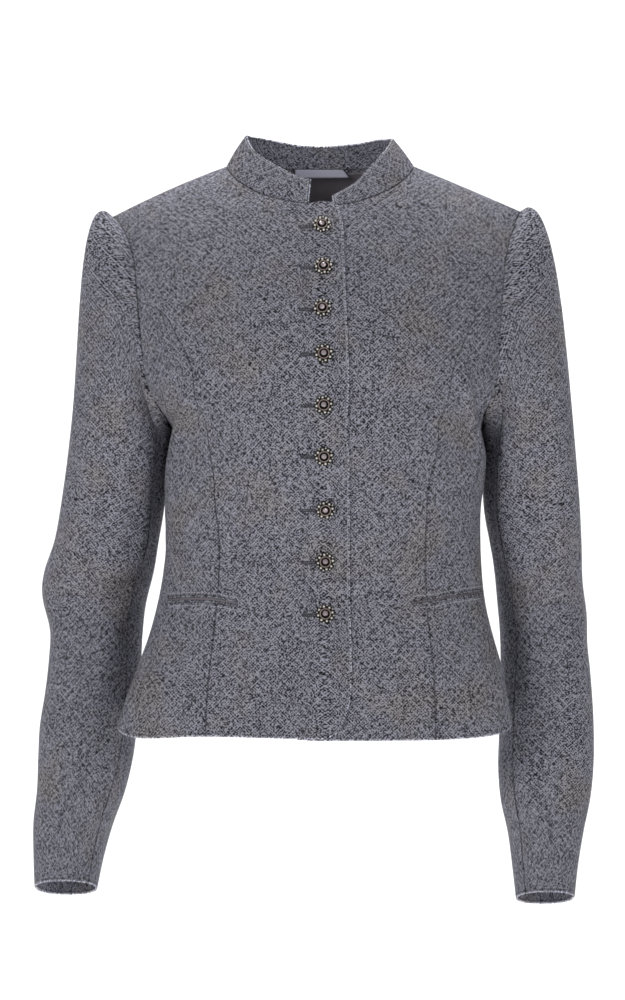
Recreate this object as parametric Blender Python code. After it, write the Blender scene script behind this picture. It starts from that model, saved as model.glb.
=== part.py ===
"""Short fitted jacket as hollow cloth walls: body pieces, two-piece sleeves, stand collar, welts, buttons.

The torso is one smooth surface made of horizontal super-ellipse sections (table BODY) that close at the top
along the line of the shoulders. Each body piece is a patch of that surface between named seam lines, with a
wall inward. Each sleeve springs from its armhole ring and runs through oval sections (tables SLEEVE_...).
"""

import math

import bpy
import numpy as np
from mathutils import Vector

# Sizes in metres. X runs to the wearer's left, Y to the back and Z up, from between the two neck points.
WALL = 0.0020
COLLAR_WALL = 0.0024
LINING_WALL = 0.0010
GAP = 0.0003
EDGE_PULL = 0.0003
LAP_SHIFT = 0.0015
LAP_FULL = 0.030
LAP_FADE = 0.030

# Shoulders: neck point, tip and how the chest and the back round up to the line between them
NECK_X = {"right": -0.0888, "left": 0.0893}
TIP = {"right": (-0.1971, -0.0478), "left": (0.1906, -0.0428)}
SHOULDER_BOW = {"right": 0.0021, "left": 0.0004}
SHOULDER_HEIGHT = {"front": 0.20, "back": 0.16}
SHOULDER_POWER = {"front": 1.5, "back": 2.6}
NECK_RISE = 0.0192
FRONT_SQUARE = 2.5

# Torso sections: height, middle, half widths to the wearer's right and left, front, back, side line, squareness behind
BODY_COLUMNS = ("z", "middle", "right", "left", "front", "back", "side", "behind")
BODY = (
    (0.020, 0.0010, 0.2050, 0.2050, -0.1180, 0.1000, 0.000, 2.5),
    (-0.060, 0.0012, 0.2050, 0.2030, -0.1190, 0.1020, 0.000, 2.5),
    (-0.110, 0.0015, 0.1980, 0.1960, -0.1200, 0.1035, 0.000, 2.5),
    (-0.150, 0.0017, 0.1890, 0.1880, -0.1215, 0.1035, 0.000, 2.5),
    (-0.180, 0.0020, 0.1820, 0.1820, -0.1230, 0.1010, 0.000, 2.4),
    (-0.205, 0.0022, 0.1745, 0.1765, -0.1240, 0.0980, 0.000, 2.4),
    (-0.225, 0.0023, 0.1630, 0.1660, -0.1240, 0.0950, 0.000, 2.3),
    (-0.243, 0.0024, 0.1475, 0.1530, -0.1235, 0.0910, 0.000, 2.3),
    (-0.265, 0.0025, 0.1415, 0.1520, -0.1220, 0.0860, 0.000, 2.2),
    (-0.285, 0.0027, 0.1445, 0.1530, -0.1185, 0.0810, 0.000, 2.2),
    (-0.305, 0.0028, 0.1480, 0.1515, -0.1125, 0.0760, 0.000, 2.2),
    (-0.325, 0.0029, 0.1498, 0.1495, -0.1060, 0.0720, 0.000, 2.2),
    (-0.345, 0.0030, 0.1495, 0.1490, -0.1010, 0.0700, 0.000, 2.2),
    (-0.370, 0.0031, 0.1500, 0.1495, -0.0985, 0.0715, -0.003, 2.2),
    (-0.395, 0.0033, 0.1530, 0.1505, -0.0985, 0.0770, -0.009, 2.2),
    (-0.420, 0.0035, 0.1580, 0.1535, -0.1010, 0.0850, -0.018, 2.1),
    (-0.445, 0.0038, 0.1648, 0.1590, -0.1050, 0.0930, -0.028, 2.0),
    (-0.470, 0.0040, 0.1738, 0.1655, -0.1095, 0.1000, -0.038, 1.9),
    (-0.500, 0.0044, 0.1850, 0.1705, -0.1140, 0.1060, -0.049, 1.8),
    (-0.530, 0.0046, 0.1945, 0.1755, -0.1180, 0.1110, -0.056, 1.8),
    (-0.560, 0.0046, 0.2010, 0.1800, -0.1210, 0.1150, -0.060, 1.8),
)

# Neck seam: an oval seen from above, its reach to the front and the back, and where the collar ends across
NECK_FRONT = -0.0672
NECK_BACK = 0.0570
BACK_NECK_Z = 0.0038
COLLAR_END_X = {"right": -0.0106, "left": 0.0120}

# Armhole seam in front and behind, below the shoulder tip: height, distance across on each side
ARMHOLE_COLUMNS = ("z", "right", "left")
ARMHOLE_FRONT = (
    (-0.0585, 0.1880, 0.1836),
    (-0.0770, 0.1793, 0.1778),
    (-0.0950, 0.1742, 0.1738),
    (-0.1200, 0.1719, 0.1712),
    (-0.1450, 0.1692, 0.1687),
    (-0.1745, 0.1663, 0.1670),
    (-0.2050, 0.1625, 0.1645),
    (-0.2250, 0.1535, 0.1580),
    (-0.2370, 0.1462, 0.1545),
)
ARMHOLE_BACK = (
    (-0.0600, 0.1890, 0.1850),
    (-0.0850, 0.1825, 0.1800),
    (-0.1200, 0.1780, 0.1765),
    (-0.1600, 0.1745, 0.1745),
    (-0.1950, 0.1680, 0.1700),
    (-0.2200, 0.1580, 0.1610),
    (-0.2360, 0.1458, 0.1510),
)
ARMPIT_Z = -0.243

# Princess seam from the armhole to the hem: height, distance across on each side
PRINCESS_COLUMNS = ("z", "right", "left")
PRINCESS = (
    (-0.1300, 0.1708, 0.1703),
    (-0.1400, 0.1500, 0.1530),
    (-0.1520, 0.1377, 0.1395),
    (-0.1720, 0.1295, 0.1325),
    (-0.2000, 0.1169, 0.1215),
    (-0.2530, 0.1057, 0.1105),
    (-0.2900, 0.0984, 0.1025),
    (-0.3490, 0.0945, 0.0980),
    (-0.4450, 0.0985, 0.1015),
)
PRINCESS_HEM_X = {"right": -0.1050, "left": 0.1060}

# Free front edge of the upper front, from the neck down and round the lower corner: across, height
OVER_EDGE = (
    (0.0157, -0.0413),
    (0.0185, -0.0472),
    (0.0199, -0.0529),
    (0.0217, -0.0852),
    (0.0236, -0.1339),
    (0.0257, -0.2257),
    (0.0268, -0.3169),
    (0.0273, -0.4086),
    (0.0279, -0.4906),
    (0.0256, -0.5104),
    (0.0198, -0.5244),
)
OVER_HEM_START = ((0.0116, -0.5326), (0.0058, -0.5346), (-0.0071, -0.5353))
OVER_NECK_START = (0.0120, -0.0400)
UNDER_EDGE_X = -0.0210
UNDER_NECK_Z = -0.0445

# Hem height at shares of the way from the front middle to the side, on each side
HEM_COLUMNS = ("share", "right", "left")
HEM = (
    (0.00, -0.5353, -0.5367),
    (0.35, -0.5334, -0.5364),
    (0.60, -0.5360, -0.5342),
    (0.80, -0.5335, -0.5305),
    (1.00, -0.5262, -0.5240),
    (1.40, -0.5290, -0.5280),
    (2.00, -0.5320, -0.5320),
)

# Soft folds of the body: across and height of both ends, width, height of the fold, 1 in front and -1 behind
FOLD_COLUMNS = ("x0", "z0", "x1", "z1", "width", "rise", "face")
FOLDS = (
    (-0.1300, -0.225, -0.1400, -0.300, 0.012, 0.0030, 1),
    (0.1400, -0.225, 0.1500, -0.300, 0.012, 0.0026, 1),
    (-0.0600, -0.330, -0.1300, -0.350, 0.016, -0.0016, 1),
    (0.0500, -0.345, 0.1250, -0.362, 0.016, -0.0014, 1),
    (-0.0300, -0.318, -0.1200, -0.330, 0.018, -0.0030, -1),
    (0.0400, -0.350, 0.1250, -0.338, 0.018, -0.0026, -1),
    (-0.1300, -0.240, -0.0900, -0.150, 0.016, 0.0025, -1),
    (0.1350, -0.240, 0.0950, -0.155, 0.016, 0.0025, -1),
)

# Sleeve sections: height, outer and inner edge across, middle depth, half depth, lean forward in degrees, squareness
SLEEVE_COLUMNS = ("z", "outer", "inner", "middle", "depth", "lean", "square")
SLEEVE_RIGHT = (
    (-0.2650, -0.2389, -0.1455, 0.0120, 0.0560, 0.0, 2.5),
    (-0.3207, -0.2475, -0.1504, 0.0260, 0.0550, 0.0, 2.5),
    (-0.3660, -0.2574, -0.1560, 0.0380, 0.0530, 0.0, 2.4),
    (-0.3880, -0.2646, -0.1604, 0.0430, 0.0525, 2.0, 2.3),
    (-0.4050, -0.2664, -0.1650, 0.0465, 0.0520, 5.0, 2.3),
    (-0.4224, -0.2630, -0.1686, 0.0475, 0.0510, 9.0, 2.2),
    (-0.4452, -0.2602, -0.1709, 0.0455, 0.0500, 13.0, 2.2),
    (-0.4957, -0.2628, -0.1726, 0.0340, 0.0490, 16.0, 2.2),
    (-0.5450, -0.2688, -0.1763, 0.0200, 0.0480, 16.0, 2.2),
    (-0.5890, -0.2686, -0.1843, 0.0075, 0.0460, 16.0, 2.2),
    (-0.6110, -0.2713, -0.1924, 0.0010, 0.0450, 16.0, 2.2),
    (-0.6438, -0.2713, -0.2023, -0.0085, 0.0430, 16.0, 2.2),
    (-0.6832, -0.2692, -0.2105, -0.0197, 0.0415, 16.0, 2.2),
)
SLEEVE_LEFT = (
    (-0.2650, 0.2428, 0.1600, 0.0120, 0.0560, 0.0, 2.5),
    (-0.3207, 0.2484, 0.1570, 0.0260, 0.0550, 0.0, 2.5),
    (-0.3660, 0.2512, 0.1645, 0.0360, 0.0535, 0.0, 2.4),
    (-0.3900, 0.2520, 0.1684, 0.0400, 0.0530, 2.0, 2.3),
    (-0.4107, 0.2532, 0.1706, 0.0425, 0.0525, 6.0, 2.3),
    (-0.4565, 0.2574, 0.1738, 0.0400, 0.0515, 13.0, 2.2),
    (-0.5015, 0.2606, 0.1731, 0.0300, 0.0500, 15.0, 2.2),
    (-0.5450, 0.2616, 0.1712, 0.0190, 0.0490, 15.0, 2.2),
    (-0.5890, 0.2588, 0.1704, 0.0070, 0.0470, 15.0, 2.2),
    (-0.6107, 0.2550, 0.1737, 0.0010, 0.0460, 15.0, 2.2),
    (-0.6320, 0.2497, 0.1783, -0.0050, 0.0445, 15.0, 2.2),
    (-0.6600, 0.2443, 0.1816, -0.0125, 0.0430, 15.0, 2.2),
    (-0.6925, 0.2398, 0.1849, -0.0212, 0.0410, 15.0, 2.2),
)
# How the sleeve leaves the armhole: angle round the ring, rise off the body in degrees, reach of the curve
HEAD_COLUMNS = ("angle", "rise", "reach")
HEAD_RIGHT = (
    (0, 74, 0.160),
    (45, 62, 0.110),
    (90, 48, 0.060),
    (135, 62, 0.034),
    (180, 100, 0.014),
    (225, 80, 0.030),
    (270, 48, 0.060),
    (315, 62, 0.110),
    (360, 74, 0.160),
)
HEAD_LEFT = (
    (0, 66, 0.140),
    (45, 58, 0.100),
    (90, 46, 0.060),
    (135, 62, 0.034),
    (180, 100, 0.014),
    (225, 80, 0.030),
    (270, 46, 0.060),
    (315, 58, 0.100),
    (360, 66, 0.140),
)
HEAD_END_REACH = 1.15
ARMHOLE_MIDDLE_Z = -0.145

# Soft folds of the sleeves: angle round and height of both ends, width, rise
CREASE_COLUMNS = ("a0", "z0", "a1", "z1", "width", "rise")
CREASES_RIGHT = (
    (150, -0.385, 95, -0.425, 0.014, -0.0045),
    (160, -0.425, 120, -0.470, 0.016, -0.0040),
    (150, -0.500, 100, -0.520, 0.016, -0.0025),
    (200, -0.360, 240, -0.390, 0.016, -0.0035),
    (20, -0.400, -40, -0.410, 0.020, 0.0030),
    (60, -0.090, 40, -0.200, 0.014, -0.0025),
)
CREASES_LEFT = (
    (150, -0.395, 95, -0.430, 0.014, -0.0035),
    (160, -0.440, 100, -0.475, 0.016, -0.0035),
    (110, -0.330, 70, -0.200, 0.016, -0.0025),
    (200, -0.370, 240, -0.400, 0.016, -0.0030),
    (20, -0.420, -40, -0.430, 0.020, 0.0025),
    (60, -0.090, 40, -0.200, 0.014, -0.0025),
)

# Collar: share of the way round from one end to the other, upward and inward reach
COLLAR_COLUMNS = ("share", "up", "inward")
COLLAR = (
    (0.00, 0.0245, 0.0165),
    (0.032, 0.0262, 0.0165),
    (0.08, 0.0298, 0.0172),
    (0.12, 0.0312, 0.0176),
    (0.17, 0.0306, 0.0180),
    (0.23, 0.0308, 0.0186),
    (0.30, 0.0290, 0.0188),
    (0.50, 0.0200, 0.0185),
    (0.70, 0.0266, 0.0215),
    (0.76, 0.0274, 0.0205),
    (0.81, 0.0310, 0.0192),
    (0.85, 0.0318, 0.0180),
    (0.88, 0.0298, 0.0172),
    (0.905, 0.0266, 0.0168),
    (0.937, 0.0206, 0.0132),
    (0.968, 0.0156, 0.0100),
    (1.00, 0.0100, 0.0064),
)

# Pocket slits, from the front to the side: distance across and height
SLIT_RIGHT = ((-0.0757, -0.4128), (-0.0986, -0.4093), (-0.1217, -0.4090), (-0.1420, -0.4103))
SLIT_LEFT = ((0.0860, -0.4112), (0.1053, -0.4094), (0.1240, -0.4062), (0.1510, -0.4035))
WELT_HEIGHT = 0.0034
WELT_WALL = 0.0010
SLIT_HALF = 0.0004
WELT_GAP = 0.0007
SEAT_REACH = 0.010

# Buttons: across and height of each, and the turned profile as radius and height
BUTTONS = (
    (0.0016, -0.0640),
    (0.0030, -0.1035),
    (0.0018, -0.1423),
    (0.0032, -0.1834),
    (0.0032, -0.2303),
    (0.0034, -0.2767),
    (0.0047, -0.3252),
    (0.0047, -0.3736),
    (0.0047, -0.4219),
)
BUTTON_PROFILE = (
    (0.0030, 0.0003),
    (0.0030, 0.0013),
    (0.0084, 0.0015),
    (0.0091, 0.0023),
    (0.0086, 0.0033),
    (0.0068, 0.0030),
    (0.0052, 0.0026),
    (0.0048, 0.0040),
    (0.0030, 0.0050),
)
BUTTON_TOP = 0.0055
BUTTON_SIDES = 14

# Hanger loop inside the back of the neck
LOOP_HALF = 0.0243
LOOP_TOP = 0.0026
LOOP_BOTTOM = -0.0056
LOOP_WALL = 0.0008

# Lining seen through the neck opening: rows of the back it covers, share of a row left bare under the neck seam
LINING_ROWS = 6
LINING_DROP = 0.15

# Mesh counts along each seam
N_FREE = 2
N_NECK_FRONT = 8
N_NECK_BACK = 5
N_SHOULDER = 6
N_ARM_HIGH = 6
N_ARM_LOW = 6
N_ARM_BACK = 10
N_PRINCESS = 13
N_SIDE = 13
N_HEAD = 8
N_SLEEVE = 14
FRONT_SEAM_ANGLE = 138.0
BACK_SEAM_ANGLE = 262.0
SMOOTH_STEPS = 100

SLOTS = {
    "wool": ((0.125, 0.128, 0.150, 1.0), 0.92, 0.0),
    "button_metal": ((0.30, 0.27, 0.22, 1.0), 0.42, 1.0),
    "satin": ((0.42, 0.40, 0.48, 1.0), 0.35, 0.0),
    "lining": ((0.035, 0.030, 0.030, 1.0), 0.60, 0.0),
}


def smooth(knots, values, at):
    """Cubic curve through the knots; its slope at a knot is the mean slope across its neighbours."""
    knots = np.asarray(knots, float)
    values = np.asarray(values, float)
    if knots[0] > knots[-1]:
        knots = knots[::-1]
        values = values[::-1]
    slope = np.gradient(values, knots)
    at = np.clip(at, knots[0], knots[-1])
    low = np.clip(np.searchsorted(knots, at) - 1, 0, len(knots) - 2)
    span = knots[low + 1] - knots[low]
    t = (at - knots[low]) / span
    start = (2 * t**3 - 3 * t**2 + 1) * values[low] + (t**3 - 2 * t**2 + t) * span * slope[low]
    end = (3 * t**2 - 2 * t**3) * values[low + 1] + (t**3 - t**2) * span * slope[low + 1]
    return start + end


def column(rows, columns, name):
    """One named column of a table."""
    return np.array([row[columns.index(name)] for row in rows], float)


def read(rows, columns, name, at):
    """Smooth value of a named column at a place along the table's first column."""
    return smooth(column(rows, columns, columns[0]), column(rows, columns, name), at)


def unit(vectors):
    """Vectors at length one."""
    return vectors / np.maximum(np.linalg.norm(vectors, axis=-1, keepdims=True), 1e-12)


def face_name(behind):
    """Name of the half of the torso in the shoulder tables."""
    return "back" if behind else "front"


def ridge(x):
    """Height of the shoulder line above a point across: a slight bow to each tip, a low arch inside the neck."""
    neck = np.where(x < 0, NECK_X["right"], NECK_X["left"])
    height = NECK_RISE * (1.0 - (x / neck) ** 2)
    for side, beyond in (("right", x < NECK_X["right"]), ("left", x > NECK_X["left"])):
        share = (x - NECK_X[side]) / (TIP[side][0] - NECK_X[side])
        bow = 4 * SHOULDER_BOW[side] * share * (1 - share)
        height = np.where(beyond, TIP[side][1] * share + bow, height)
    return height


def section(w, z, behind):
    """Across, middle depth and reach of the torso section at a height, for shares w round it."""
    turn = w * math.pi / 2
    half = np.where(w < 0, read(BODY, BODY_COLUMNS, "right", z), read(BODY, BODY_COLUMNS, "left", z))
    square = read(BODY, BODY_COLUMNS, "behind", z) if behind else FRONT_SQUARE
    across = np.sign(w) * np.abs(np.sin(turn)) ** (2 / square) * half
    x = read(BODY, BODY_COLUMNS, "middle", z) + across
    side = read(BODY, BODY_COLUMNS, "side", z)
    edge = read(BODY, BODY_COLUMNS, face_name(behind), z)
    reach = (edge - side) * np.abs(np.cos(turn)) ** (2 / square)
    return x, side, reach


def drop(v, behind):
    """Share of the shoulder height below the ridge at a step v down the cloth."""
    power = SHOULDER_POWER[face_name(behind)]
    return np.where(v < 1, np.maximum(v, 0) ** power, 1 + power * (v - 1))


def torso(w, v, behind):
    """Points of the cloth's outer face. w: 0 front middle, 1 and -1 sides, 2 and -2 back. v: down from the ridge."""
    w = np.asarray(w, float)
    v = np.asarray(v, float)
    name = face_name(behind)
    fall = drop(v, behind)
    z = np.full(np.broadcast(w, v).shape, -0.2)
    for _ in range(30):
        x = section(w, z, behind)[0]
        z = ridge(x) - SHOULDER_HEIGHT[name] * fall
    x, side, reach = section(w, z, behind)
    power = SHOULDER_POWER[name]
    close = (1 - np.clip(1 - fall, 0, 1) ** power) ** (1 / power)
    return np.stack([x, side * close + reach * close, z], axis=-1)


def normals(w, v, behind):
    """Unit vectors out of the torso, from small steps along the cloth."""
    step = 0.0005
    sign = np.where(w < 0, -1.0, 1.0)
    inner, outer = (1.0, 2.0) if behind else (-1.0, 1.0)
    share = np.abs(w) if behind else w
    low = np.clip(share - step, inner, outer)
    high = np.clip(share + step, inner, outer)
    if behind:
        low, high = np.where(w < 0, -high, low), np.where(w < 0, -low, high)
    along = torso(high, v, behind) - torso(low, v, behind)
    down = torso(w, v + step, behind) - torso(w, np.maximum(v - step, 0), behind)
    return unit(-np.cross(along, down)) * np.abs(sign)[..., None]


def fold_rise(points, behind):
    """Height of the soft folds at points of the body: a bell across each fold, fading at both ends."""
    face = -1 if behind else 1
    total = np.zeros(points.shape[:-1])
    for x0, z0, x1, z1, width, rise, side in FOLDS:
        if side != face:
            continue
        start = np.array([x0, z0])
        line = np.array([x1, z1]) - start
        flat = points[..., [0, 2]] - start
        t = np.clip(flat @ line / (line @ line), 0, 1)
        off = np.linalg.norm(flat - t[..., None] * line, axis=-1)
        total += rise * np.exp(-((off / width) ** 2)) * (0.35 + 0.65 * np.sin(math.pi * t))
    return total


def cloth(w, v, behind, lap=0.0):
    """Outer face and outward vectors of the body cloth; lap lifts one front over the other near the middle."""
    points = torso(w, v, behind)
    out = normals(w, v, behind)
    lift = fold_rise(points, behind)
    if lap:
        away = np.abs(points[..., 0]) - LAP_FULL
        fade = np.clip(1 - away / LAP_FADE, 0, 1)
        lift = lift + lap * fade**2 * (3 - 2 * fade)
    return points + out * lift[..., None], out


def locate(x, z, behind):
    """Shares w and steps v of points given by distance across and height."""
    x = np.asarray(x, float)
    z = np.asarray(z, float)
    middle = read(BODY, BODY_COLUMNS, "middle", z)
    half = np.where(
        x < middle,
        read(BODY, BODY_COLUMNS, "right", z),
        read(BODY, BODY_COLUMNS, "left", z),
    )
    square = read(BODY, BODY_COLUMNS, "behind", z) if behind else FRONT_SQUARE
    share = np.clip(np.abs(x - middle) / half, 0, 1)
    w = np.arcsin(share ** (square / 2)) * 2 / math.pi
    if behind:
        w = 2 - w
    return np.where(x < middle, -w, w), step_down(x, z, behind)


def step_down(x, z, behind):
    """Step v of a point at distance across x and height z."""
    name = face_name(behind)
    fall = np.maximum((ridge(x) - z) / SHOULDER_HEIGHT[name], 0)
    power = SHOULDER_POWER[name]
    return np.where(fall < 1, fall ** (1 / power), 1 + (fall - 1) / power)


def at_share(w, z, behind):
    """Shares and steps of points given by share round and height."""
    w = np.asarray(w, float)
    z = np.asarray(z, float)
    return np.stack([w, step_down(section(w, z, behind)[0], z, behind)], axis=-1)


def across(rows, behind):
    """Shares and steps of rows of distance across and height."""
    rows = np.asarray(rows, float)
    return np.stack(locate(rows[:, 0], rows[:, 1], behind), axis=-1)


def trace(line, count, behind):
    """Even steps, measured on the cloth, along a smooth line through shares and steps."""
    chord = np.linalg.norm(np.diff(torso(line[:, 0], line[:, 1], behind), axis=0), axis=1)
    along = np.concatenate([[0], np.cumsum(chord)])
    fine = np.linspace(0, along[-1], 240)
    dense = np.stack([smooth(along, line[:, k], fine) for k in range(2)], axis=-1)
    dense[:, 1] = np.maximum(dense[:, 1], 0)
    run = np.linalg.norm(np.diff(torso(dense[:, 0], dense[:, 1], behind), axis=0), axis=1)
    length = np.concatenate([[0], np.cumsum(run)])
    even = np.linspace(0, length[-1], count + 1)
    return np.stack([np.interp(even, length, dense[:, k]) for k in range(2)], axis=-1)


def join(*lines):
    """Lines end to end, each shared point once."""
    return np.concatenate([lines[0]] + [line[1:] for line in lines[1:]])


def patch(start, end, top, bottom):
    """Grid of shares and steps between four edges: start and end run down, top and bottom run from start to end.

    The inside is a blend of the edges. Each inner point then moves many times to the mean of its neighbours, those
    along a row weighted by the spacing of the rows and those in a column by the spacing of the columns, less a term
    for the slant between the two. Lines laid out this way don't cross, even beside a hollow edge.
    """
    s = np.linspace(0, 1, len(top))[None, :, None]
    t = np.linspace(0, 1, len(start))[:, None, None]
    across_part = (1 - s) * start[:, None] + s * end[:, None]
    down_part = (1 - t) * top[None] + t * bottom[None]
    corners = (1 - s) * (1 - t) * top[0] + s * (1 - t) * top[-1] + (1 - s) * t * bottom[0] + s * t * bottom[-1]
    grid = across_part + down_part - corners
    for _ in range(SMOOTH_STEPS):
        left, right = grid[1:-1, :-2], grid[1:-1, 2:]
        above, below = grid[:-2, 1:-1], grid[2:, 1:-1]
        twist = grid[2:, 2:] - grid[2:, :-2] - grid[:-2, 2:] + grid[:-2, :-2]
        wide = np.sum((right - left) ** 2, axis=-1, keepdims=True)
        tall = np.sum((below - above) ** 2, axis=-1, keepdims=True)
        slant = np.sum((right - left) * (below - above), axis=-1, keepdims=True)
        moved = tall * (left + right) + wide * (above + below) - slant * twist / 2
        grid[1:-1, 1:-1] = moved / (2 * (tall + wide))
    return grid


def pull_edges(grid):
    """Moves the rim of a grid a little inward, which leaves the gap of a seam between two pieces."""
    grid = grid.copy()
    for axis in (0, 1):
        rows = np.moveaxis(grid, axis, 0)
        pulls = []
        for rim, beside in ((rows[0], rows[1]), (rows[-1], rows[-2])):
            along = unit(np.gradient(rim, axis=0))
            inward = beside - rim
            inward = inward - np.sum(inward * along, axis=-1, keepdims=True) * along
            pulls.append(unit(inward) * EDGE_PULL)
        rows[0] += pulls[0]
        rows[-1] += pulls[1]
    return grid


def add_mesh(name, vertices, faces, slot):
    """One closed object with its own material."""
    vertices = np.asarray(vertices, float)
    volume = 0.0
    for face in faces:
        for k in range(1, len(face) - 1):
            a, b, c = vertices[face[0]], vertices[face[k]], vertices[face[k + 1]]
            volume += float(np.dot(a, np.cross(b, c)))
    if volume < 0:
        faces = [tuple(reversed(face)) for face in faces]
    mesh = bpy.data.meshes.new(name)
    mesh.from_pydata([tuple(p) for p in vertices], [], [tuple(int(i) for i in f) for f in faces])
    mesh.update()
    item = bpy.data.objects.new(name, mesh)
    bpy.context.collection.objects.link(item)
    mesh.materials.append(material(slot))
    for polygon in mesh.polygons:
        polygon.use_smooth = True
    mesh.set_sharp_from_angle(angle=math.radians(40))
    return item


def material(slot):
    """Principled material of a slot, made once."""
    if slot in bpy.data.materials:
        return bpy.data.materials[slot]
    colour, roughness, metallic = SLOTS[slot]
    item = bpy.data.materials.new(slot)
    item.use_nodes = True
    shader = item.node_tree.nodes["Principled BSDF"]
    shader.inputs["Base Color"].default_value = colour
    shader.inputs["Roughness"].default_value = roughness
    shader.inputs["Metallic"].default_value = metallic
    item.diffuse_color = colour
    return item


def add_wall(name, outer, inner, slot):
    """Closed wall between an outer and an inner grid of the same counts."""
    rows, columns = outer.shape[:2]
    index = np.arange(rows * columns).reshape(rows, columns)
    below = index + rows * columns
    falling = np.linalg.norm(outer[1:, 1:] - outer[:-1, :-1], axis=-1)
    rising = np.linalg.norm(outer[1:, :-1] - outer[:-1, 1:], axis=-1)
    faces = []
    for i in range(rows - 1):
        for j in range(columns - 1):
            corners = ((i, j), (i, j + 1), (i + 1, j + 1), (i + 1, j))
            halves = ((0, 1, 2), (0, 2, 3)) if falling[i, j] < rising[i, j] else ((0, 1, 3), (1, 2, 3))
            for half in halves:
                faces.append(tuple(index[corners[k]] for k in half))
                faces.append(tuple(below[corners[k]] for k in reversed(half)))
    for j in range(columns - 1):
        faces.append((index[0, j + 1], index[0, j], below[0, j], below[0, j + 1]))
        faces.append((index[-1, j], index[-1, j + 1], below[-1, j + 1], below[-1, j]))
    for i in range(rows - 1):
        faces.append((index[i, 0], index[i + 1, 0], below[i + 1, 0], below[i, 0]))
        faces.append((index[i + 1, -1], index[i, -1], below[i, -1], below[i + 1, -1]))
    vertices = np.concatenate([outer.reshape(-1, 3), inner.reshape(-1, 3)])
    return add_mesh(name, vertices, faces, slot)


def add_panel(name, grid, behind, lap=0.0):
    """Body piece: the patch's outer face and a wall inward."""
    outer, out = cloth(grid[..., 0], grid[..., 1], behind, lap)
    return add_wall(name, pull_edges(outer), pull_edges(outer - out * WALL), "wool")


def signed(side, distance):
    """Distance across on one side of the jacket."""
    return -distance if side == "right" else distance


def neck_point(side, turn, behind):
    """Point of the neck seam at a turn from the shoulder, 0, to the middle, 90 degrees, as share and step."""
    x = NECK_X[side] * math.cos(math.radians(turn))
    y = (NECK_BACK if behind else NECK_FRONT) * math.sin(math.radians(turn))
    power = SHOULDER_POWER[face_name(behind)]
    z = 0.0
    for _ in range(20):
        w = locate(x, z, behind)[0]
        reach = section(w, z, behind)[2]
        close = min(float(y / reach), 1.0)
        fall = 1 - (1 - close**power) ** (1 / power)
        z = float(ridge(x) - SHOULDER_HEIGHT[face_name(behind)] * fall)
    return np.stack(locate(x, z, behind), axis=-1)


def front_neck(side):
    """Neck seam of one front, from the collar end to the neck point of the shoulder."""
    last = math.degrees(math.acos(abs(COLLAR_END_X[side]) / abs(NECK_X[side])))
    line = np.array([neck_point(side, turn, False) for turn in np.linspace(last, 0, 14)])
    return trace(line, N_NECK_FRONT, False)


def back_neck(side):
    """Neck seam of one back half, from the middle to the neck point."""
    line = np.array([neck_point(side, turn, True) for turn in np.linspace(88, 0, 12)])
    middle = at_share(-2.0 if side == "right" else 2.0, BACK_NECK_Z, True)
    return trace(np.concatenate([middle[None], line]), N_NECK_BACK, True)


def shoulder(side, behind):
    """Shoulder seam from the neck point to the tip."""
    xs = np.linspace(NECK_X[side], TIP[side][0], N_SHOULDER + 1)
    return across([(x, float(ridge(x))) for x in xs], behind)


def armhole_front(side):
    """Front armhole seam as rows across: above the princess seam, and below it to the armpit."""
    high = [TIP[side]]
    low = []
    start = PRINCESS[0]
    for row in ARMHOLE_FRONT:
        point = (signed(side, row[ARMHOLE_COLUMNS.index(side)]), row[0])
        if row[0] > start[0]:
            high.append(point)
        else:
            low.append(point)
    meet = (signed(side, start[PRINCESS_COLUMNS.index(side)]), start[0])
    armpit = at_share(-1.0 if side == "right" else 1.0, ARMPIT_Z, False)[None]
    upper = trace(across(high + [meet], False), N_ARM_HIGH, False)
    lower = trace(np.concatenate([across([meet] + low, False), armpit]), N_ARM_LOW, False)
    return upper, lower


def armhole_back(side):
    """Back armhole seam from the tip to the armpit."""
    rows = [TIP[side]]
    for row in ARMHOLE_BACK:
        rows.append((signed(side, row[ARMHOLE_COLUMNS.index(side)]), row[0]))
    armpit = at_share(-1.0 if side == "right" else 1.0, ARMPIT_Z, True)[None]
    return trace(np.concatenate([across(rows, True), armpit]), N_ARM_BACK, True)


def hem_z(share, side):
    """Hem height at a share of the way round from the front middle."""
    return float(read(HEM, HEM_COLUMNS, side, abs(share)))


def hem_between(start, end, side, count, behind):
    """Hem from one share to another."""
    shares = np.linspace(start, end, 9)
    line = np.array([at_share(w, hem_z(w, side), behind) for w in shares])
    return trace(line, count, behind)


def princess(side):
    """Princess seam from the armhole to the hem."""
    rows = []
    for row in PRINCESS:
        rows.append((signed(side, row[PRINCESS_COLUMNS.index(side)]), row[0]))
    foot_x = PRINCESS_HEM_X[side]
    foot_z = -0.535
    for _ in range(4):
        share = float(locate(foot_x, foot_z, False)[0])
        foot_z = hem_z(share, side)
    rows.append((foot_x, foot_z))
    return trace(across(rows, False), N_PRINCESS, False)


def side_seam(side, behind):
    """Side seam from the armpit to the hem."""
    w = -1.0 if side == "right" else 1.0
    heights = np.linspace(ARMPIT_Z, hem_z(w, side), 14)
    line = np.array([at_share(w, z, behind) for z in heights])
    return trace(line, N_SIDE, behind)


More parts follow.
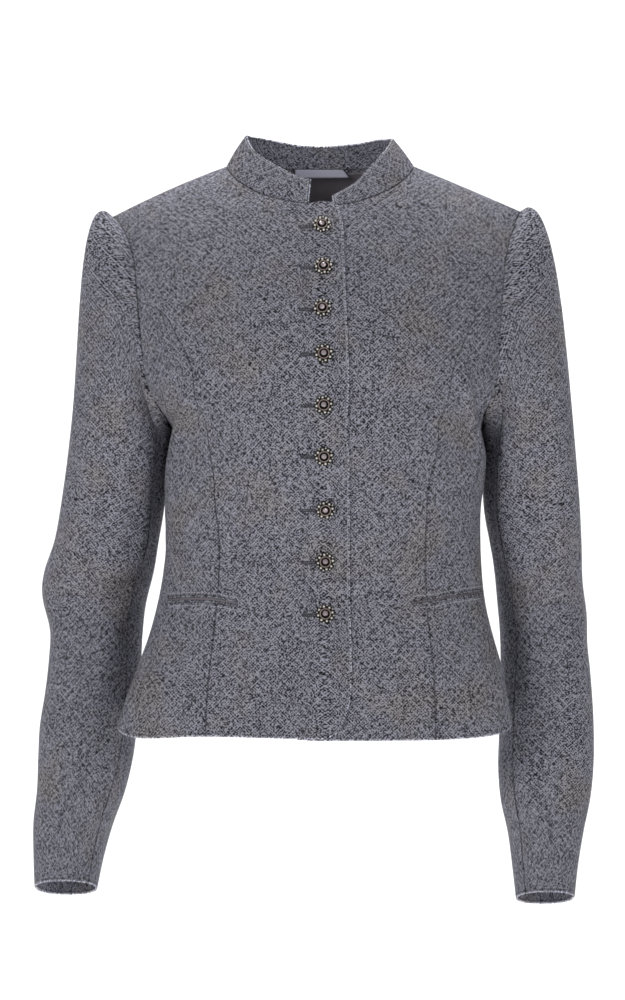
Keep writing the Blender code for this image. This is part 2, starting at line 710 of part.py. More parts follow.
def front_grid(side):
    """Grid of one front, from its free edge to the armhole and princess seam."""
    upper, _ = armhole_front(side)
    end = join(upper, princess(side))
    rows = len(end) - 1
    neck = front_neck(side)
    if side == "right":
        start = trace(across(OVER_EDGE, False), rows, False)
        free = trace(np.concatenate([start[:1], across([OVER_NECK_START], False), neck[:1]]), N_FREE, False)
        columns = N_FREE + N_NECK_FRONT + N_SHOULDER
        hem_points = across(OVER_HEM_START, False)
        shares = np.linspace(hem_points[-1, 0], end[-1, 0], 10)[1:]
        hem = np.array([at_share(w, hem_z(w, side), False) for w in shares])
        bottom = trace(np.concatenate([start[-1:], hem_points, hem]), columns, False)
    else:
        heights = np.linspace(UNDER_NECK_Z, hem_z(0.0, side) + 0.001, 14)
        start = trace(across([(UNDER_EDGE_X, z) for z in heights], False), rows, False)
        free = trace(np.concatenate([start[:1], neck[:1]]), N_FREE, False)
        columns = N_FREE + N_NECK_FRONT + N_SHOULDER
        shares = np.linspace(start[-1, 0], end[-1, 0], 12)[1:]
        hem = np.array([at_share(w, hem_z(w, side), False) for w in shares])
        bottom = trace(np.concatenate([start[-1:], hem]), columns, False)
    top = join(free, neck, shoulder(side, False))
    return patch(start, end, top, bottom)


def side_front_grid(side):
    """Grid of one side front, from the princess seam to the side seam."""
    _, lower = armhole_front(side)
    start = princess(side)
    end = side_seam(side, False)
    bottom = hem_between(start[-1, 0], end[-1, 0], side, N_ARM_LOW, False)
    return patch(start, end, lower, bottom)


def back_grid(side):
    """Grid of one back half, from the middle to the armhole and side seam."""
    w = -2.0 if side == "right" else 2.0
    end = join(armhole_back(side), side_seam(side, True))
    heights = np.linspace(BACK_NECK_Z, hem_z(w, side), 16)
    middle = np.array([at_share(w, z, True) for z in heights])
    start = trace(middle, len(end) - 1, True)
    neck = back_neck(side)
    neck[0] = start[0]
    top = join(neck, shoulder(side, True))
    bottom = hem_between(w, end[-1, 0], side, len(top) - 1, True)
    return patch(start, end, top, bottom)


def armhole_ring(side):
    """Points and outward vectors round the armhole, from the tip down the front and up the back."""
    upper, lower = armhole_front(side)
    front = join(upper, lower)
    back = armhole_back(side)[::-1]
    front_points, front_out = cloth(front[:, 0], front[:, 1], False)
    back_points, back_out = cloth(back[:, 0], back[:, 1], True)
    points = np.concatenate([front_points, back_points[1:]])
    out = np.concatenate([front_out, back_out[1:]])
    out[len(front_points) - 1] = unit(front_out[-1] + back_out[0])
    out[0] = unit(front_out[0] + back_out[-1])
    out[-1] = out[0]
    return points, out


def tube(side, z, angle):
    """Outer face of a sleeve section at height z; angle 0 is outer, 90 front, 180 inner and 270 back."""
    rows = SLEEVE_RIGHT if side == "right" else SLEEVE_LEFT
    values = {name: read(rows, SLEEVE_COLUMNS, name, z) for name in SLEEVE_COLUMNS[1:]}
    turn = np.radians(angle)
    cosine = np.sign(np.cos(turn)) * np.abs(np.cos(turn)) ** (2 / values["square"])
    sine = np.sign(np.sin(turn)) * np.abs(np.sin(turn)) ** (2 / values["square"])
    centre = (values["outer"] + values["inner"]) / 2
    half = (values["outer"] - values["inner"]) / 2
    lean = np.radians(values["lean"])
    x = centre + half * cosine
    y = values["middle"] - values["depth"] * sine * np.cos(lean)
    height = z + values["depth"] * sine * np.sin(lean)
    return np.stack([x, y, height], axis=-1)


def sleeve_grid(side):
    """Outer face of a whole sleeve as rows of rings, and the angle of each column."""
    points, out = armhole_ring(side)
    centre = np.array([0.0, 0.0, ARMHOLE_MIDDLE_Z])
    flat = points - centre
    angle = np.degrees(np.arctan2(-flat[:, 1], flat[:, 2])) % 360
    angle[0] = 0.0
    angle[-1] = 360.0
    closed = np.concatenate([points[-2:-1], points, points[1:2]])
    along = unit(closed[2:] - closed[:-2])
    into = unit(np.cross(along, out))
    toward = centre - points
    toward[:, 0] = 0
    into *= np.sign(np.sum(into * toward, axis=1))[:, None]
    rows = HEAD_RIGHT if side == "right" else HEAD_LEFT
    rise = np.radians(read(rows, HEAD_COLUMNS, "rise", angle))[:, None]
    reach = read(rows, HEAD_COLUMNS, "reach", angle)[:, None]
    leave = reach * (np.cos(rise) * into + np.sin(rise) * out)
    start = points + into * GAP
    table = SLEEVE_RIGHT if side == "right" else SLEEVE_LEFT
    top_z, foot_z = table[0][0], table[-1][0]
    first = tube(side, np.full(len(angle), top_z), angle)
    slope = (first - tube(side, np.full(len(angle), top_z - 0.004), angle)) / 0.004
    length = HEAD_END_REACH * np.maximum(points[:, 2] - top_z, 0.012)[:, None]
    arrive = -slope * length
    grid = []
    for t in np.linspace(0, 1, N_HEAD + 1)[:-1] ** 1.15:
        row = (2 * t**3 - 3 * t**2 + 1) * start + (t**3 - 2 * t**2 + t) * leave
        row = row + (3 * t**2 - 2 * t**3) * first + (t**3 - t**2) * arrive
        grid.append(row)
    for z in np.linspace(top_z, foot_z, N_SLEEVE + 1):
        grid.append(tube(side, np.full(len(angle), z), angle))
    return crease(np.array(grid), angle, side), angle


def crease(grid, angle, side):
    """Adds the soft folds of a sleeve along its outward vectors."""
    rows = CREASES_RIGHT if side == "right" else CREASES_LEFT
    out = grid_normals(grid)
    size = 0.05
    rise = np.zeros(grid.shape[:2])
    for a0, z0, a1, z1, width, height in rows:
        line = np.array([math.radians(a1 - a0) * size, z1 - z0])
        turn = (angle - a0 + 180) % 360 - 180
        flat = np.stack([np.radians(turn)[None, :] * size + 0 * grid[..., 2], grid[..., 2] - z0], axis=-1)
        t = np.clip(flat @ line / (line @ line), 0, 1)
        off = np.linalg.norm(flat - t[..., None] * line, axis=-1)
        rise += height * np.exp(-((off / width) ** 2)) * (0.35 + 0.65 * np.sin(math.pi * t))
    rise[0] = 0
    rise[1] *= 0.4
    return grid + out * rise[..., None]


def grid_normals(grid):
    """Outward unit vectors of a closed ring grid whose last column repeats the first."""
    down = np.gradient(grid, axis=0)
    ring = grid[:, :-1]
    around = np.roll(ring, -1, axis=1) - np.roll(ring, 1, axis=1)
    around = np.concatenate([around, around[:, :1]], axis=1)
    out = unit(np.cross(down, around))
    middle = ring.mean(axis=1, keepdims=True)
    if np.sum(out * (grid - middle)) < 0:
        out = -out
    return out


def add_sleeve(side):
    """Top and under sleeve of one side."""
    grid, angle = sleeve_grid(side)
    out = grid_normals(grid)
    inner = grid - out * WALL
    front = int(np.argmin(np.abs(angle - FRONT_SEAM_ANGLE)))
    back = int(np.argmin(np.abs(angle - BACK_SEAM_ANGLE)))
    top = np.concatenate([np.arange(back, len(angle) - 1), np.arange(0, front + 1)])
    under = np.arange(front, back + 1)
    for name, pick in (("top", top), ("under", under)):
        outer_piece = pull_edges(grid[:, pick])
        inner_piece = pull_edges(inner[:, pick])
        add_wall(f"sleeve_{side}_{name}", outer_piece, inner_piece, "wool")


def collar_base():
    """Neck seam points from the right collar end round the back to the left one."""
    parts = []
    for side, lap in (("right", LAP_SHIFT), ("left", -LAP_SHIFT)):
        line = front_neck(side)
        points = cloth(line[:, 0], line[:, 1], False, lap)[0]
        back = back_neck(side)[::-1]
        behind = cloth(back[:, 0], back[:, 1], True)[0]
        parts.append(np.concatenate([points, behind[1:]]))
    right, left = parts
    middle = (right[-1] + left[-1]) / 2
    return np.concatenate([right[:-1], [middle], left[:-1][::-1]])


def collar_faces():
    """Outer and inner grids of the stand collar."""
    base = collar_base()
    run = np.linalg.norm(np.diff(base, axis=0), axis=1)
    share = np.concatenate([[0], np.cumsum(run)]) / run.sum()
    along = np.gradient(base, axis=0)
    along[:, 2] = 0
    level = unit(np.cross(along, np.array([0.0, 0.0, 1.0])))
    toward = np.array([0.0, 0.0, 0.0]) - base
    toward[:, 2] = 0
    level *= np.sign(np.sum(level * toward, axis=1))[:, None]
    up = read(COLLAR, COLLAR_COLUMNS, "up", share)[:, None]
    inward = read(COLLAR, COLLAR_COLUMNS, "inward", share)[:, None]
    rise = up * np.array([0.0, 0.0, 1.0]) + inward * level
    start = base + unit(rise) * GAP * 1.6
    outer = np.stack([start + rise * t for t in (0.0, 0.35, 0.7, 1.0)])
    out = unit(np.cross(rise, np.gradient(base, axis=0)))
    out *= np.sign(np.sum(out * (base - np.array([0.0, 0.0, 0.0])), axis=1))[:, None]
    return outer, outer - out[None] * COLLAR_WALL


def add_lining():
    """Lining of the upper back: the back pieces' own points moved inward, as one thin wall."""
    halves = []
    for side in ("right", "left"):
        grid = back_grid(side)[: LINING_ROWS + 1, : N_NECK_BACK + 1]
        face, out = cloth(grid[..., 0], grid[..., 1], True)
        face[0] += (face[1] - face[0]) * LINING_DROP
        out[0] += (out[1] - out[0]) * LINING_DROP
        halves.append((face - out * (WALL + GAP), face - out * (WALL + GAP + LINING_WALL)))
    faces = []
    for right, left in zip(*halves):
        middle = (right[:, :1] + left[:, :1]) / 2
        faces.append(np.concatenate([right[:, :0:-1], middle, left[:, 1:]], axis=1))
    add_wall("lining_back", faces[0], faces[1], "lining")


def add_loop():
    """Satin hanger loop that hangs just inside the collar at the back."""
    outer, inner = collar_faces()
    face = inner[0]
    behind = face[:, 1] > 0
    order = np.argsort(face[behind][:, 0])
    xs = face[behind][order, 0]
    ys = face[behind][order, 1]
    across_loop = np.linspace(-LOOP_HALF, LOOP_HALF, 9)
    depth = np.interp(across_loop, xs, ys) - GAP * 3
    bow = 0.0012 * np.cos(across_loop / LOOP_HALF * math.pi / 2)
    grids = []
    for extra in (0.0, LOOP_WALL):
        rows = []
        for z in (LOOP_TOP, (LOOP_TOP + LOOP_BOTTOM) / 2, LOOP_BOTTOM):
            rows.append(np.stack([across_loop, depth - bow - extra, np.full(9, z)], axis=-1))
        grids.append(np.array(rows))
    add_wall("hanger_loop", grids[0], grids[1], "satin")


def seat(points, out, names):
    """Moves points along their outward vectors onto the outermost face of the named pieces."""
    bpy.context.view_layer.update()
    flat = points.reshape(-1, 3).copy()
    ways = np.broadcast_to(out, points.shape).reshape(-1, 3)
    for k, (point, way) in enumerate(zip(flat, ways)):
        start = Vector(point + way * SEAT_REACH)
        for name in names:
            hit, place, _, _ = bpy.data.objects[name].ray_cast(start, Vector(-way))
            height = np.dot(np.array(place) - point, way) if hit else -SEAT_REACH
            if hit and height > -SEAT_REACH:
                flat[k] = np.where(height > np.dot(flat[k] - point, way), np.array(place), flat[k])
    return flat.reshape(points.shape)


def add_welts(side):
    """Upper and lower welt of one pocket, raised on the body."""
    rows = SLIT_RIGHT if side == "right" else SLIT_LEFT
    xs = np.array([row[0] for row in rows])
    zs = np.array([row[1] for row in rows])
    along = np.linspace(xs[0], xs[-1], 13)
    middle = smooth(xs, zs, along)
    for name, sign in (("upper", 1.0), ("lower", -1.0)):
        grid = []
        for t in (0.0, 1.0):
            z = middle + sign * (SLIT_HALF + WELT_HEIGHT * t)
            grid.append(np.stack(locate(along, z, False), axis=-1))
        grid = np.array(grid)
        face, out = cloth(grid[..., 0], grid[..., 1], False)
        face = seat(face, out, (f"front_{side}", f"side_front_{side}"))
        add_wall(f"welt_{side}_{name}", face + out * (WELT_GAP + WELT_WALL), face + out * WELT_GAP, "wool")


def add_button(number, x, z):
    """Turned button standing on the upper front, its face along the cloth's outward vector."""
    place = across([(x, z)], False)
    points, out = cloth(place[:, 0], place[:, 1], False, LAP_SHIFT)
    axis = out[0]
    foot_point = seat(points, out, ("front_right",))[0]
    side = unit(np.cross(np.array([0.0, 0.0, 1.0]), axis))
    up = np.cross(axis, side)
    turns = np.linspace(0, 2 * math.pi, BUTTON_SIDES, endpoint=False)
    round_face = np.cos(turns)[:, None] * side + np.sin(turns)[:, None] * up
    rings = [foot_point + axis * height + radius * round_face for radius, height in BUTTON_PROFILE]
    ends = [foot_point + axis * height for height in (BUTTON_PROFILE[0][1], BUTTON_TOP)]
    vertices = np.concatenate(rings + [np.array(ends)])
    count = len(BUTTON_PROFILE)
    foot = count * BUTTON_SIDES
    faces = []
    for j in range(BUTTON_SIDES):
        k = (j + 1) % BUTTON_SIDES
        faces.append((foot, k, j))
        for i in range(count - 1):
            low = i * BUTTON_SIDES
            high = low + BUTTON_SIDES
            faces.append((low + j, low + k, high + k, high + j))
        last = (count - 1) * BUTTON_SIDES
        faces.append((last + j, last + k, foot + 1))
    add_mesh(f"button_{number}", vertices, faces, "button_metal")


def main():
    """Builds every piece of the jacket."""
    for item in list(bpy.data.objects):
        bpy.data.objects.remove(item, do_unlink=True)
    add_panel("front_right", front_grid("right"), False, LAP_SHIFT)
    add_panel("front_left", front_grid("left"), False, -LAP_SHIFT)
    for side in ("right", "left"):
        add_panel(f"side_front_{side}", side_front_grid(side), False)
        add_panel(f"back_{side}", back_grid(side), True)
        add_sleeve(side)
        add_welts(side)
    outer, inner = collar_faces()
    add_wall("collar", outer, inner, "wool")
    add_lining()
    add_loop()
    for number, (x, z) in enumerate(BUTTONS, start=1):
        add_button(number, x, z)


main()
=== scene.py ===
"""Short fitted jacket in grey-blue wool jersey: cloth shells, stitching, filigree buttons and their finishes.

The cloth follows the same section tables as the solids. Each piece is a patch between its seam lines on
a fine grid, with its folds as soft ridges and hollows, and a wall whose rim rounds over.
"""
import math

import bpy
import numpy as np
from bpy.props import FloatProperty, FloatVectorProperty, PointerProperty
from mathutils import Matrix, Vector


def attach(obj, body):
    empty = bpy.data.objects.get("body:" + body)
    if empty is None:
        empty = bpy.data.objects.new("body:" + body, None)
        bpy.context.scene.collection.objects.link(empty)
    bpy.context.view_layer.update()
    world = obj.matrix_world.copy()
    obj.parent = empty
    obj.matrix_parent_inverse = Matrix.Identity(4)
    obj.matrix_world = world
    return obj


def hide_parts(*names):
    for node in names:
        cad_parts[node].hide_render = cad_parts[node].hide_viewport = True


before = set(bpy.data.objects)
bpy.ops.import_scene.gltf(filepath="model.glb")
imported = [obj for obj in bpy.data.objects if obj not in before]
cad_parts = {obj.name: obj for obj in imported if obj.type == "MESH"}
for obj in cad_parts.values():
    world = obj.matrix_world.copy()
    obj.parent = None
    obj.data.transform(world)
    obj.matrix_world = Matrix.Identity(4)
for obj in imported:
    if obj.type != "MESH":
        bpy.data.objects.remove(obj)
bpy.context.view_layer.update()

bl_info = {
    "name": "Fitted jersey jacket",
    "version": (1, 0, 0),
    "blender": (4, 5, 0),
    "location": "View3D > Sidebar > Jacket",
    "description": "Builds the cloth, trimmings and stage of a short fitted jacket",
    "category": "Object",
}


# Sizes in metres. X runs to the wearer's left, Y to the back and Z up, from between the two neck points.
WALL = 0.0020
COLLAR_WALL = 0.0024
LINING_WALL = 0.0010
GAP = 0.0003
LAP_SHIFT = 0.0015
LAP_FULL = 0.030
LAP_FADE = 0.030

# Shoulders: neck point, tip and how the chest and the back round up to the line between them
NECK_X = {"right": -0.0888, "left": 0.0893}
TIP = {"right": (-0.1971, -0.0478), "left": (0.1906, -0.0428)}
SHOULDER_BOW = {"right": 0.0021, "left": 0.0004}
SHOULDER_HEIGHT = {"front": 0.20, "back": 0.16}
SHOULDER_POWER = {"front": 1.5, "back": 2.6}
NECK_RISE = 0.0192
FRONT_SQUARE = 2.5

# Torso sections: height, middle, half widths to the wearer's right and left, front, back, side line and
# squareness behind
BODY_COLUMNS = ("z", "middle", "right", "left", "front", "back", "side", "behind")
BODY = (
    (0.020, 0.0010, 0.2050, 0.2050, -0.1180, 0.1000, 0.000, 2.5),
    (-0.060, 0.0012, 0.2050, 0.2030, -0.1190, 0.1020, 0.000, 2.5),
    (-0.110, 0.0015, 0.1980, 0.1960, -0.1200, 0.1035, 0.000, 2.5),
    (-0.150, 0.0017, 0.1890, 0.1880, -0.1215, 0.1035, 0.000, 2.5),
    (-0.180, 0.0020, 0.1820, 0.1820, -0.1230, 0.1010, 0.000, 2.4),
    (-0.205, 0.0022, 0.1745, 0.1765, -0.1240, 0.0980, 0.000, 2.4),
    (-0.225, 0.0023, 0.1630, 0.1660, -0.1240, 0.0950, 0.000, 2.3),
    (-0.243, 0.0024, 0.1475, 0.1530, -0.1235, 0.0910, 0.000, 2.3),
    (-0.265, 0.0025, 0.1415, 0.1520, -0.1220, 0.0860, 0.000, 2.2),
    (-0.285, 0.0027, 0.1445, 0.1530, -0.1185, 0.0810, 0.000, 2.2),
    (-0.305, 0.0028, 0.1480, 0.1515, -0.1125, 0.0760, 0.000, 2.2),
    (-0.325, 0.0029, 0.1498, 0.1495, -0.1060, 0.0720, 0.000, 2.2),
    (-0.345, 0.0030, 0.1495, 0.1490, -0.1010, 0.0700, 0.000, 2.2),
    (-0.370, 0.0031, 0.1500, 0.1495, -0.0985, 0.0715, -0.003, 2.2),
    (-0.395, 0.0033, 0.1530, 0.1505, -0.0985, 0.0770, -0.009, 2.2),
    (-0.420, 0.0035, 0.1580, 0.1535, -0.1010, 0.0850, -0.018, 2.1),
    (-0.445, 0.0038, 0.1648, 0.1590, -0.1050, 0.0930, -0.028, 2.0),
    (-0.470, 0.0040, 0.1738, 0.1655, -0.1095, 0.1000, -0.038, 1.9),
    (-0.500, 0.0044, 0.1850, 0.1705, -0.1140, 0.1060, -0.049, 1.8),
    (-0.530, 0.0046, 0.1945, 0.1755, -0.1180, 0.1110, -0.056, 1.8),
    (-0.560, 0.0046, 0.2010, 0.1800, -0.1210, 0.1150, -0.060, 1.8),
)

# Neck seam: an oval seen from above, its reach to the front and the back, and where the collar ends across
NECK_FRONT = -0.0672
NECK_BACK = 0.0570
BACK_NECK_Z = 0.0038
COLLAR_END_X = {"right": -0.0106, "left": 0.0120}

# Armhole seam in front and behind, below the shoulder tip: height, distance across on each side
ARMHOLE_COLUMNS = ("z", "right", "left")
ARMHOLE_FRONT = (
    (-0.0585, 0.1880, 0.1836),
    (-0.0770, 0.1793, 0.1778),
    (-0.0950, 0.1742, 0.1738),
    (-0.1200, 0.1719, 0.1712),
    (-0.1450, 0.1692, 0.1687),
    (-0.1745, 0.1663, 0.1670),
    (-0.2050, 0.1625, 0.1645),
    (-0.2250, 0.1535, 0.1580),
    (-0.2370, 0.1462, 0.1545),
)
ARMHOLE_BACK = (
    (-0.0600, 0.1890, 0.1850),
    (-0.0850, 0.1825, 0.1800),
    (-0.1200, 0.1780, 0.1765),
    (-0.1600, 0.1745, 0.1745),
    (-0.1950, 0.1680, 0.1700),
    (-0.2200, 0.1580, 0.1610),
    (-0.2360, 0.1458, 0.1510),
)
ARMPIT_Z = -0.243

# Princess seam from the armhole to the hem: height, distance across on each side
PRINCESS_COLUMNS = ("z", "right", "left")
PRINCESS = (
    (-0.1300, 0.1708, 0.1703),
    (-0.1400, 0.1500, 0.1530),
    (-0.1520, 0.1377, 0.1395),
    (-0.1720, 0.1295, 0.1325),
    (-0.2000, 0.1169, 0.1215),
    (-0.2530, 0.1057, 0.1105),
    (-0.2900, 0.0984, 0.1025),
    (-0.3490, 0.0945, 0.0980),
    (-0.4450, 0.0985, 0.1015),
)
PRINCESS_HEM_X = {"right": -0.1050, "left": 0.1060}

# Free front edge of the upper front, from the neck down and round the lower corner: across, height
OVER_EDGE = (
    (0.0157, -0.0413),
    (0.0185, -0.0472),
    (0.0199, -0.0529),
    (0.0217, -0.0852),
    (0.0236, -0.1339),
    (0.0257, -0.2257),
    (0.0268, -0.3169),
    (0.0273, -0.4086),
    (0.0279, -0.4906),
    (0.0256, -0.5104),
    (0.0198, -0.5244),
)
OVER_HEM_START = ((0.0116, -0.5326), (0.0058, -0.5346), (-0.0071, -0.5353))
OVER_NECK_START = (0.0120, -0.0400)
UNDER_EDGE_X = -0.0210
UNDER_NECK_Z = -0.0445

# Hem height at shares of the way from the front middle to the side, on each side
HEM_COLUMNS = ("share", "right", "left")
HEM = (
    (0.00, -0.5353, -0.5367),
    (0.35, -0.5334, -0.5364),
    (0.60, -0.5360, -0.5342),
    (0.80, -0.5335, -0.5305),
    (1.00, -0.5262, -0.5240),
    (1.40, -0.5290, -0.5280),
    (2.00, -0.5320, -0.5320),
)

# Soft folds of the body: across and height of both ends, width, height of the fold, 1 in front and -1 behind
FOLDS = (
    (-0.1300, -0.225, -0.1400, -0.300, 0.012, 0.0030, 1),
    (0.1400, -0.225, 0.1500, -0.300, 0.012, 0.0026, 1),
    (-0.0600, -0.330, -0.1300, -0.350, 0.016, -0.0016, 1),
    (0.0500, -0.345, 0.1250, -0.362, 0.016, -0.0014, 1),
    (-0.0300, -0.318, -0.1200, -0.330, 0.018, -0.0030, -1),
    (0.0400, -0.350, 0.1250, -0.338, 0.018, -0.0026, -1),
    (-0.1300, -0.240, -0.0900, -0.150, 0.016, 0.0025, -1),
    (0.1350, -0.240, 0.0950, -0.155, 0.016, 0.0025, -1),
)

# Sleeve sections: height, outer and inner edge across, middle depth, half depth, lean forward in degrees and
# squareness
SLEEVE_COLUMNS = ("z", "outer", "inner", "middle", "depth", "lean", "square")
SLEEVE_RIGHT = (
    (-0.2650, -0.2389, -0.1455, 0.0120, 0.0560, 0.0, 2.5),
    (-0.3207, -0.2475, -0.1504, 0.0260, 0.0550, 0.0, 2.5),
    (-0.3660, -0.2574, -0.1560, 0.0380, 0.0530, 0.0, 2.4),
    (-0.3880, -0.2646, -0.1604, 0.0430, 0.0525, 2.0, 2.3),
    (-0.4050, -0.2664, -0.1650, 0.0465, 0.0520, 5.0, 2.3),
    (-0.4224, -0.2630, -0.1686, 0.0475, 0.0510, 9.0, 2.2),
    (-0.4452, -0.2602, -0.1709, 0.0455, 0.0500, 13.0, 2.2),
    (-0.4957, -0.2628, -0.1726, 0.0340, 0.0490, 16.0, 2.2),
    (-0.5450, -0.2688, -0.1763, 0.0200, 0.0480, 16.0, 2.2),
    (-0.5890, -0.2686, -0.1843, 0.0075, 0.0460, 16.0, 2.2),
    (-0.6110, -0.2713, -0.1924, 0.0010, 0.0450, 16.0, 2.2),
    (-0.6438, -0.2713, -0.2023, -0.0085, 0.0430, 16.0, 2.2),
    (-0.6832, -0.2692, -0.2105, -0.0197, 0.0415, 16.0, 2.2),
)
SLEEVE_LEFT = (
    (-0.2650, 0.2428, 0.1600, 0.0120, 0.0560, 0.0, 2.5),
    (-0.3207, 0.2484, 0.1570, 0.0260, 0.0550, 0.0, 2.5),
    (-0.3660, 0.2512, 0.1645, 0.0360, 0.0535, 0.0, 2.4),
    (-0.3900, 0.2520, 0.1684, 0.0400, 0.0530, 2.0, 2.3),
    (-0.4107, 0.2532, 0.1706, 0.0425, 0.0525, 6.0, 2.3),
    (-0.4565, 0.2574, 0.1738, 0.0400, 0.0515, 13.0, 2.2),
    (-0.5015, 0.2606, 0.1731, 0.0300, 0.0500, 15.0, 2.2),
    (-0.5450, 0.2616, 0.1712, 0.0190, 0.0490, 15.0, 2.2),
    (-0.5890, 0.2588, 0.1704, 0.0070, 0.0470, 15.0, 2.2),
    (-0.6107, 0.2550, 0.1737, 0.0010, 0.0460, 15.0, 2.2),
    (-0.6320, 0.2497, 0.1783, -0.0050, 0.0445, 15.0, 2.2),
    (-0.6600, 0.2443, 0.1816, -0.0125, 0.0430, 15.0, 2.2),
    (-0.6925, 0.2398, 0.1849, -0.0212, 0.0410, 15.0, 2.2),
)
# How the sleeve leaves the armhole: angle round the ring, rise off the body in degrees, reach of the curve
HEAD_COLUMNS = ("angle", "rise", "reach")
HEAD_RIGHT = (
    (0, 74, 0.160),
    (45, 62, 0.110),
    (90, 48, 0.060),
    (135, 62, 0.034),
    (180, 100, 0.014),
    (225, 80, 0.030),
    (270, 48, 0.060),
    (315, 62, 0.110),
    (360, 74, 0.160),
)
HEAD_LEFT = (
    (0, 66, 0.140),
    (45, 58, 0.100),
    (90, 46, 0.060),
    (135, 62, 0.034),
    (180, 100, 0.014),
    (225, 80, 0.030),
    (270, 46, 0.060),
    (315, 58, 0.100),
    (360, 66, 0.140),
)
HEAD_END_REACH = 1.15
ARMHOLE_MIDDLE_Z = -0.145

# Soft folds of the sleeves: angle round and height of both ends, width, rise
CREASES_RIGHT = (
    (150, -0.385, 95, -0.425, 0.014, -0.0045),
    (160, -0.425, 120, -0.470, 0.016, -0.0040),
    (150, -0.500, 100, -0.520, 0.016, -0.0025),
    (200, -0.360, 240, -0.390, 0.016, -0.0035),
    (20, -0.400, -40, -0.410, 0.020, 0.0030),
    (60, -0.090, 40, -0.200, 0.014, -0.0025),
)
CREASES_LEFT = (
    (150, -0.395, 95, -0.430, 0.014, -0.0035),
    (160, -0.440, 100, -0.475, 0.016, -0.0035),
    (110, -0.330, 70, -0.200, 0.016, -0.0025),
    (200, -0.370, 240, -0.400, 0.016, -0.0030),
    (20, -0.420, -40, -0.430, 0.020, 0.0025),
    (60, -0.090, 40, -0.200, 0.014, -0.0025),
)

# Collar: share of the way round from one end to the other, upward and inward reach
COLLAR_COLUMNS = ("share", "up", "inward")
COLLAR = (
    (0.00, 0.0245, 0.0165),
    (0.032, 0.0262, 0.0165),
    (0.08, 0.0298, 0.0172),
    (0.12, 0.0312, 0.0176),
    (0.17, 0.0306, 0.0180),
    (0.23, 0.0308, 0.0186),
    (0.30, 0.0290, 0.0188),
    (0.50, 0.0200, 0.0185),
    (0.70, 0.0266, 0.0215),
    (0.76, 0.0274, 0.0205),
    (0.81, 0.0310, 0.0192),
    (0.85, 0.0318, 0.0180),
    (0.88, 0.0298, 0.0172),
    (0.905, 0.0266, 0.0168),
    (0.937, 0.0206, 0.0132),
    (0.968, 0.0156, 0.0100),
    (1.00, 0.0100, 0.0064),
)

# Pocket slits, from the front to the side: distance across and height
SLIT_RIGHT = ((-0.0757, -0.4128), (-0.0986, -0.4093), (-0.1217, -0.4090), (-0.1420, -0.4103))
SLIT_LEFT = ((0.0860, -0.4112), (0.1053, -0.4094), (0.1240, -0.4062), (0.1510, -0.4035))
WELT_HEIGHT = 0.0034
SLIT_HALF = 0.0004
WELT_CLOTH = 0.0013
WELT_ROLL = 0.0008
MOUTH_HALF = 0.0012
MOUTH_WALL = 0.0004

# Buttons: distance across and height of each
BUTTONS = (
    (0.0016, -0.0640),
    (0.0030, -0.1035),
    (0.0018, -0.1423),
    (0.0032, -0.1834),
    (0.0032, -0.2303),
    (0.0034, -0.2767),
    (0.0047, -0.3252),
    (0.0047, -0.3736),
    (0.0047, -0.4219),
)
# Profile of a button's ground as radius and height, and its two rows of beads as radius, distance from the
# middle, height of the dome, height of its foot and turn as a share of the pitch
GROUND_PROFILE = (
    (0.0030, 0.0001),
    (0.0030, 0.0008),
    (0.0078, 0.0010),
    (0.0085, 0.0015),
    (0.0087, 0.0020),
    (0.0084, 0.0024),
    (0.0076, 0.0023),
    (0.0064, 0.0020),
    (0.0054, 0.0020),
    (0.0050, 0.0030),
    (0.0042, 0.0032),
    (0.0039, 0.0014),
    (0.0010, 0.0012),
)
BEADS_ROUND = 8
BEAD_ROWS = (
    (0.00110, 0.0068, 0.0012, 0.0030, 0.0),
    (0.00066, 0.0079, 0.0010, 0.0028, 0.5),
)
RING_RADIUS = 0.0047
RING_HEIGHT = 0.0034
RING_HALF = 0.00042
BUTTON_TOP = 0.0055
STONE_LIFT = 0.0004

# Hanger loop inside the back of the neck
LOOP_HALF = 0.0243
LOOP_TOP = 0.0026
LOOP_BOTTOM = -0.0056
LOOP_WALL = 0.0008

# Lining seen through the neck opening: rows of the back it covers, share of a row bare under the neck seam
LINING_ROWS = 6
LINING_DROP = 0.15

# Mesh counts along each seam
N_FREE = 2
N_NECK_FRONT = 8
N_NECK_BACK = 5
N_SHOULDER = 6
N_ARM_HIGH = 6
N_ARM_LOW = 6
N_ARM_BACK = 10
N_PRINCESS = 13
N_SIDE = 13
N_HEAD = 8
N_SLEEVE = 14
FRONT_SEAM_ANGLE = 138.0
BACK_SEAM_ANGLE = 262.0
SMOOTH_STEPS = 100

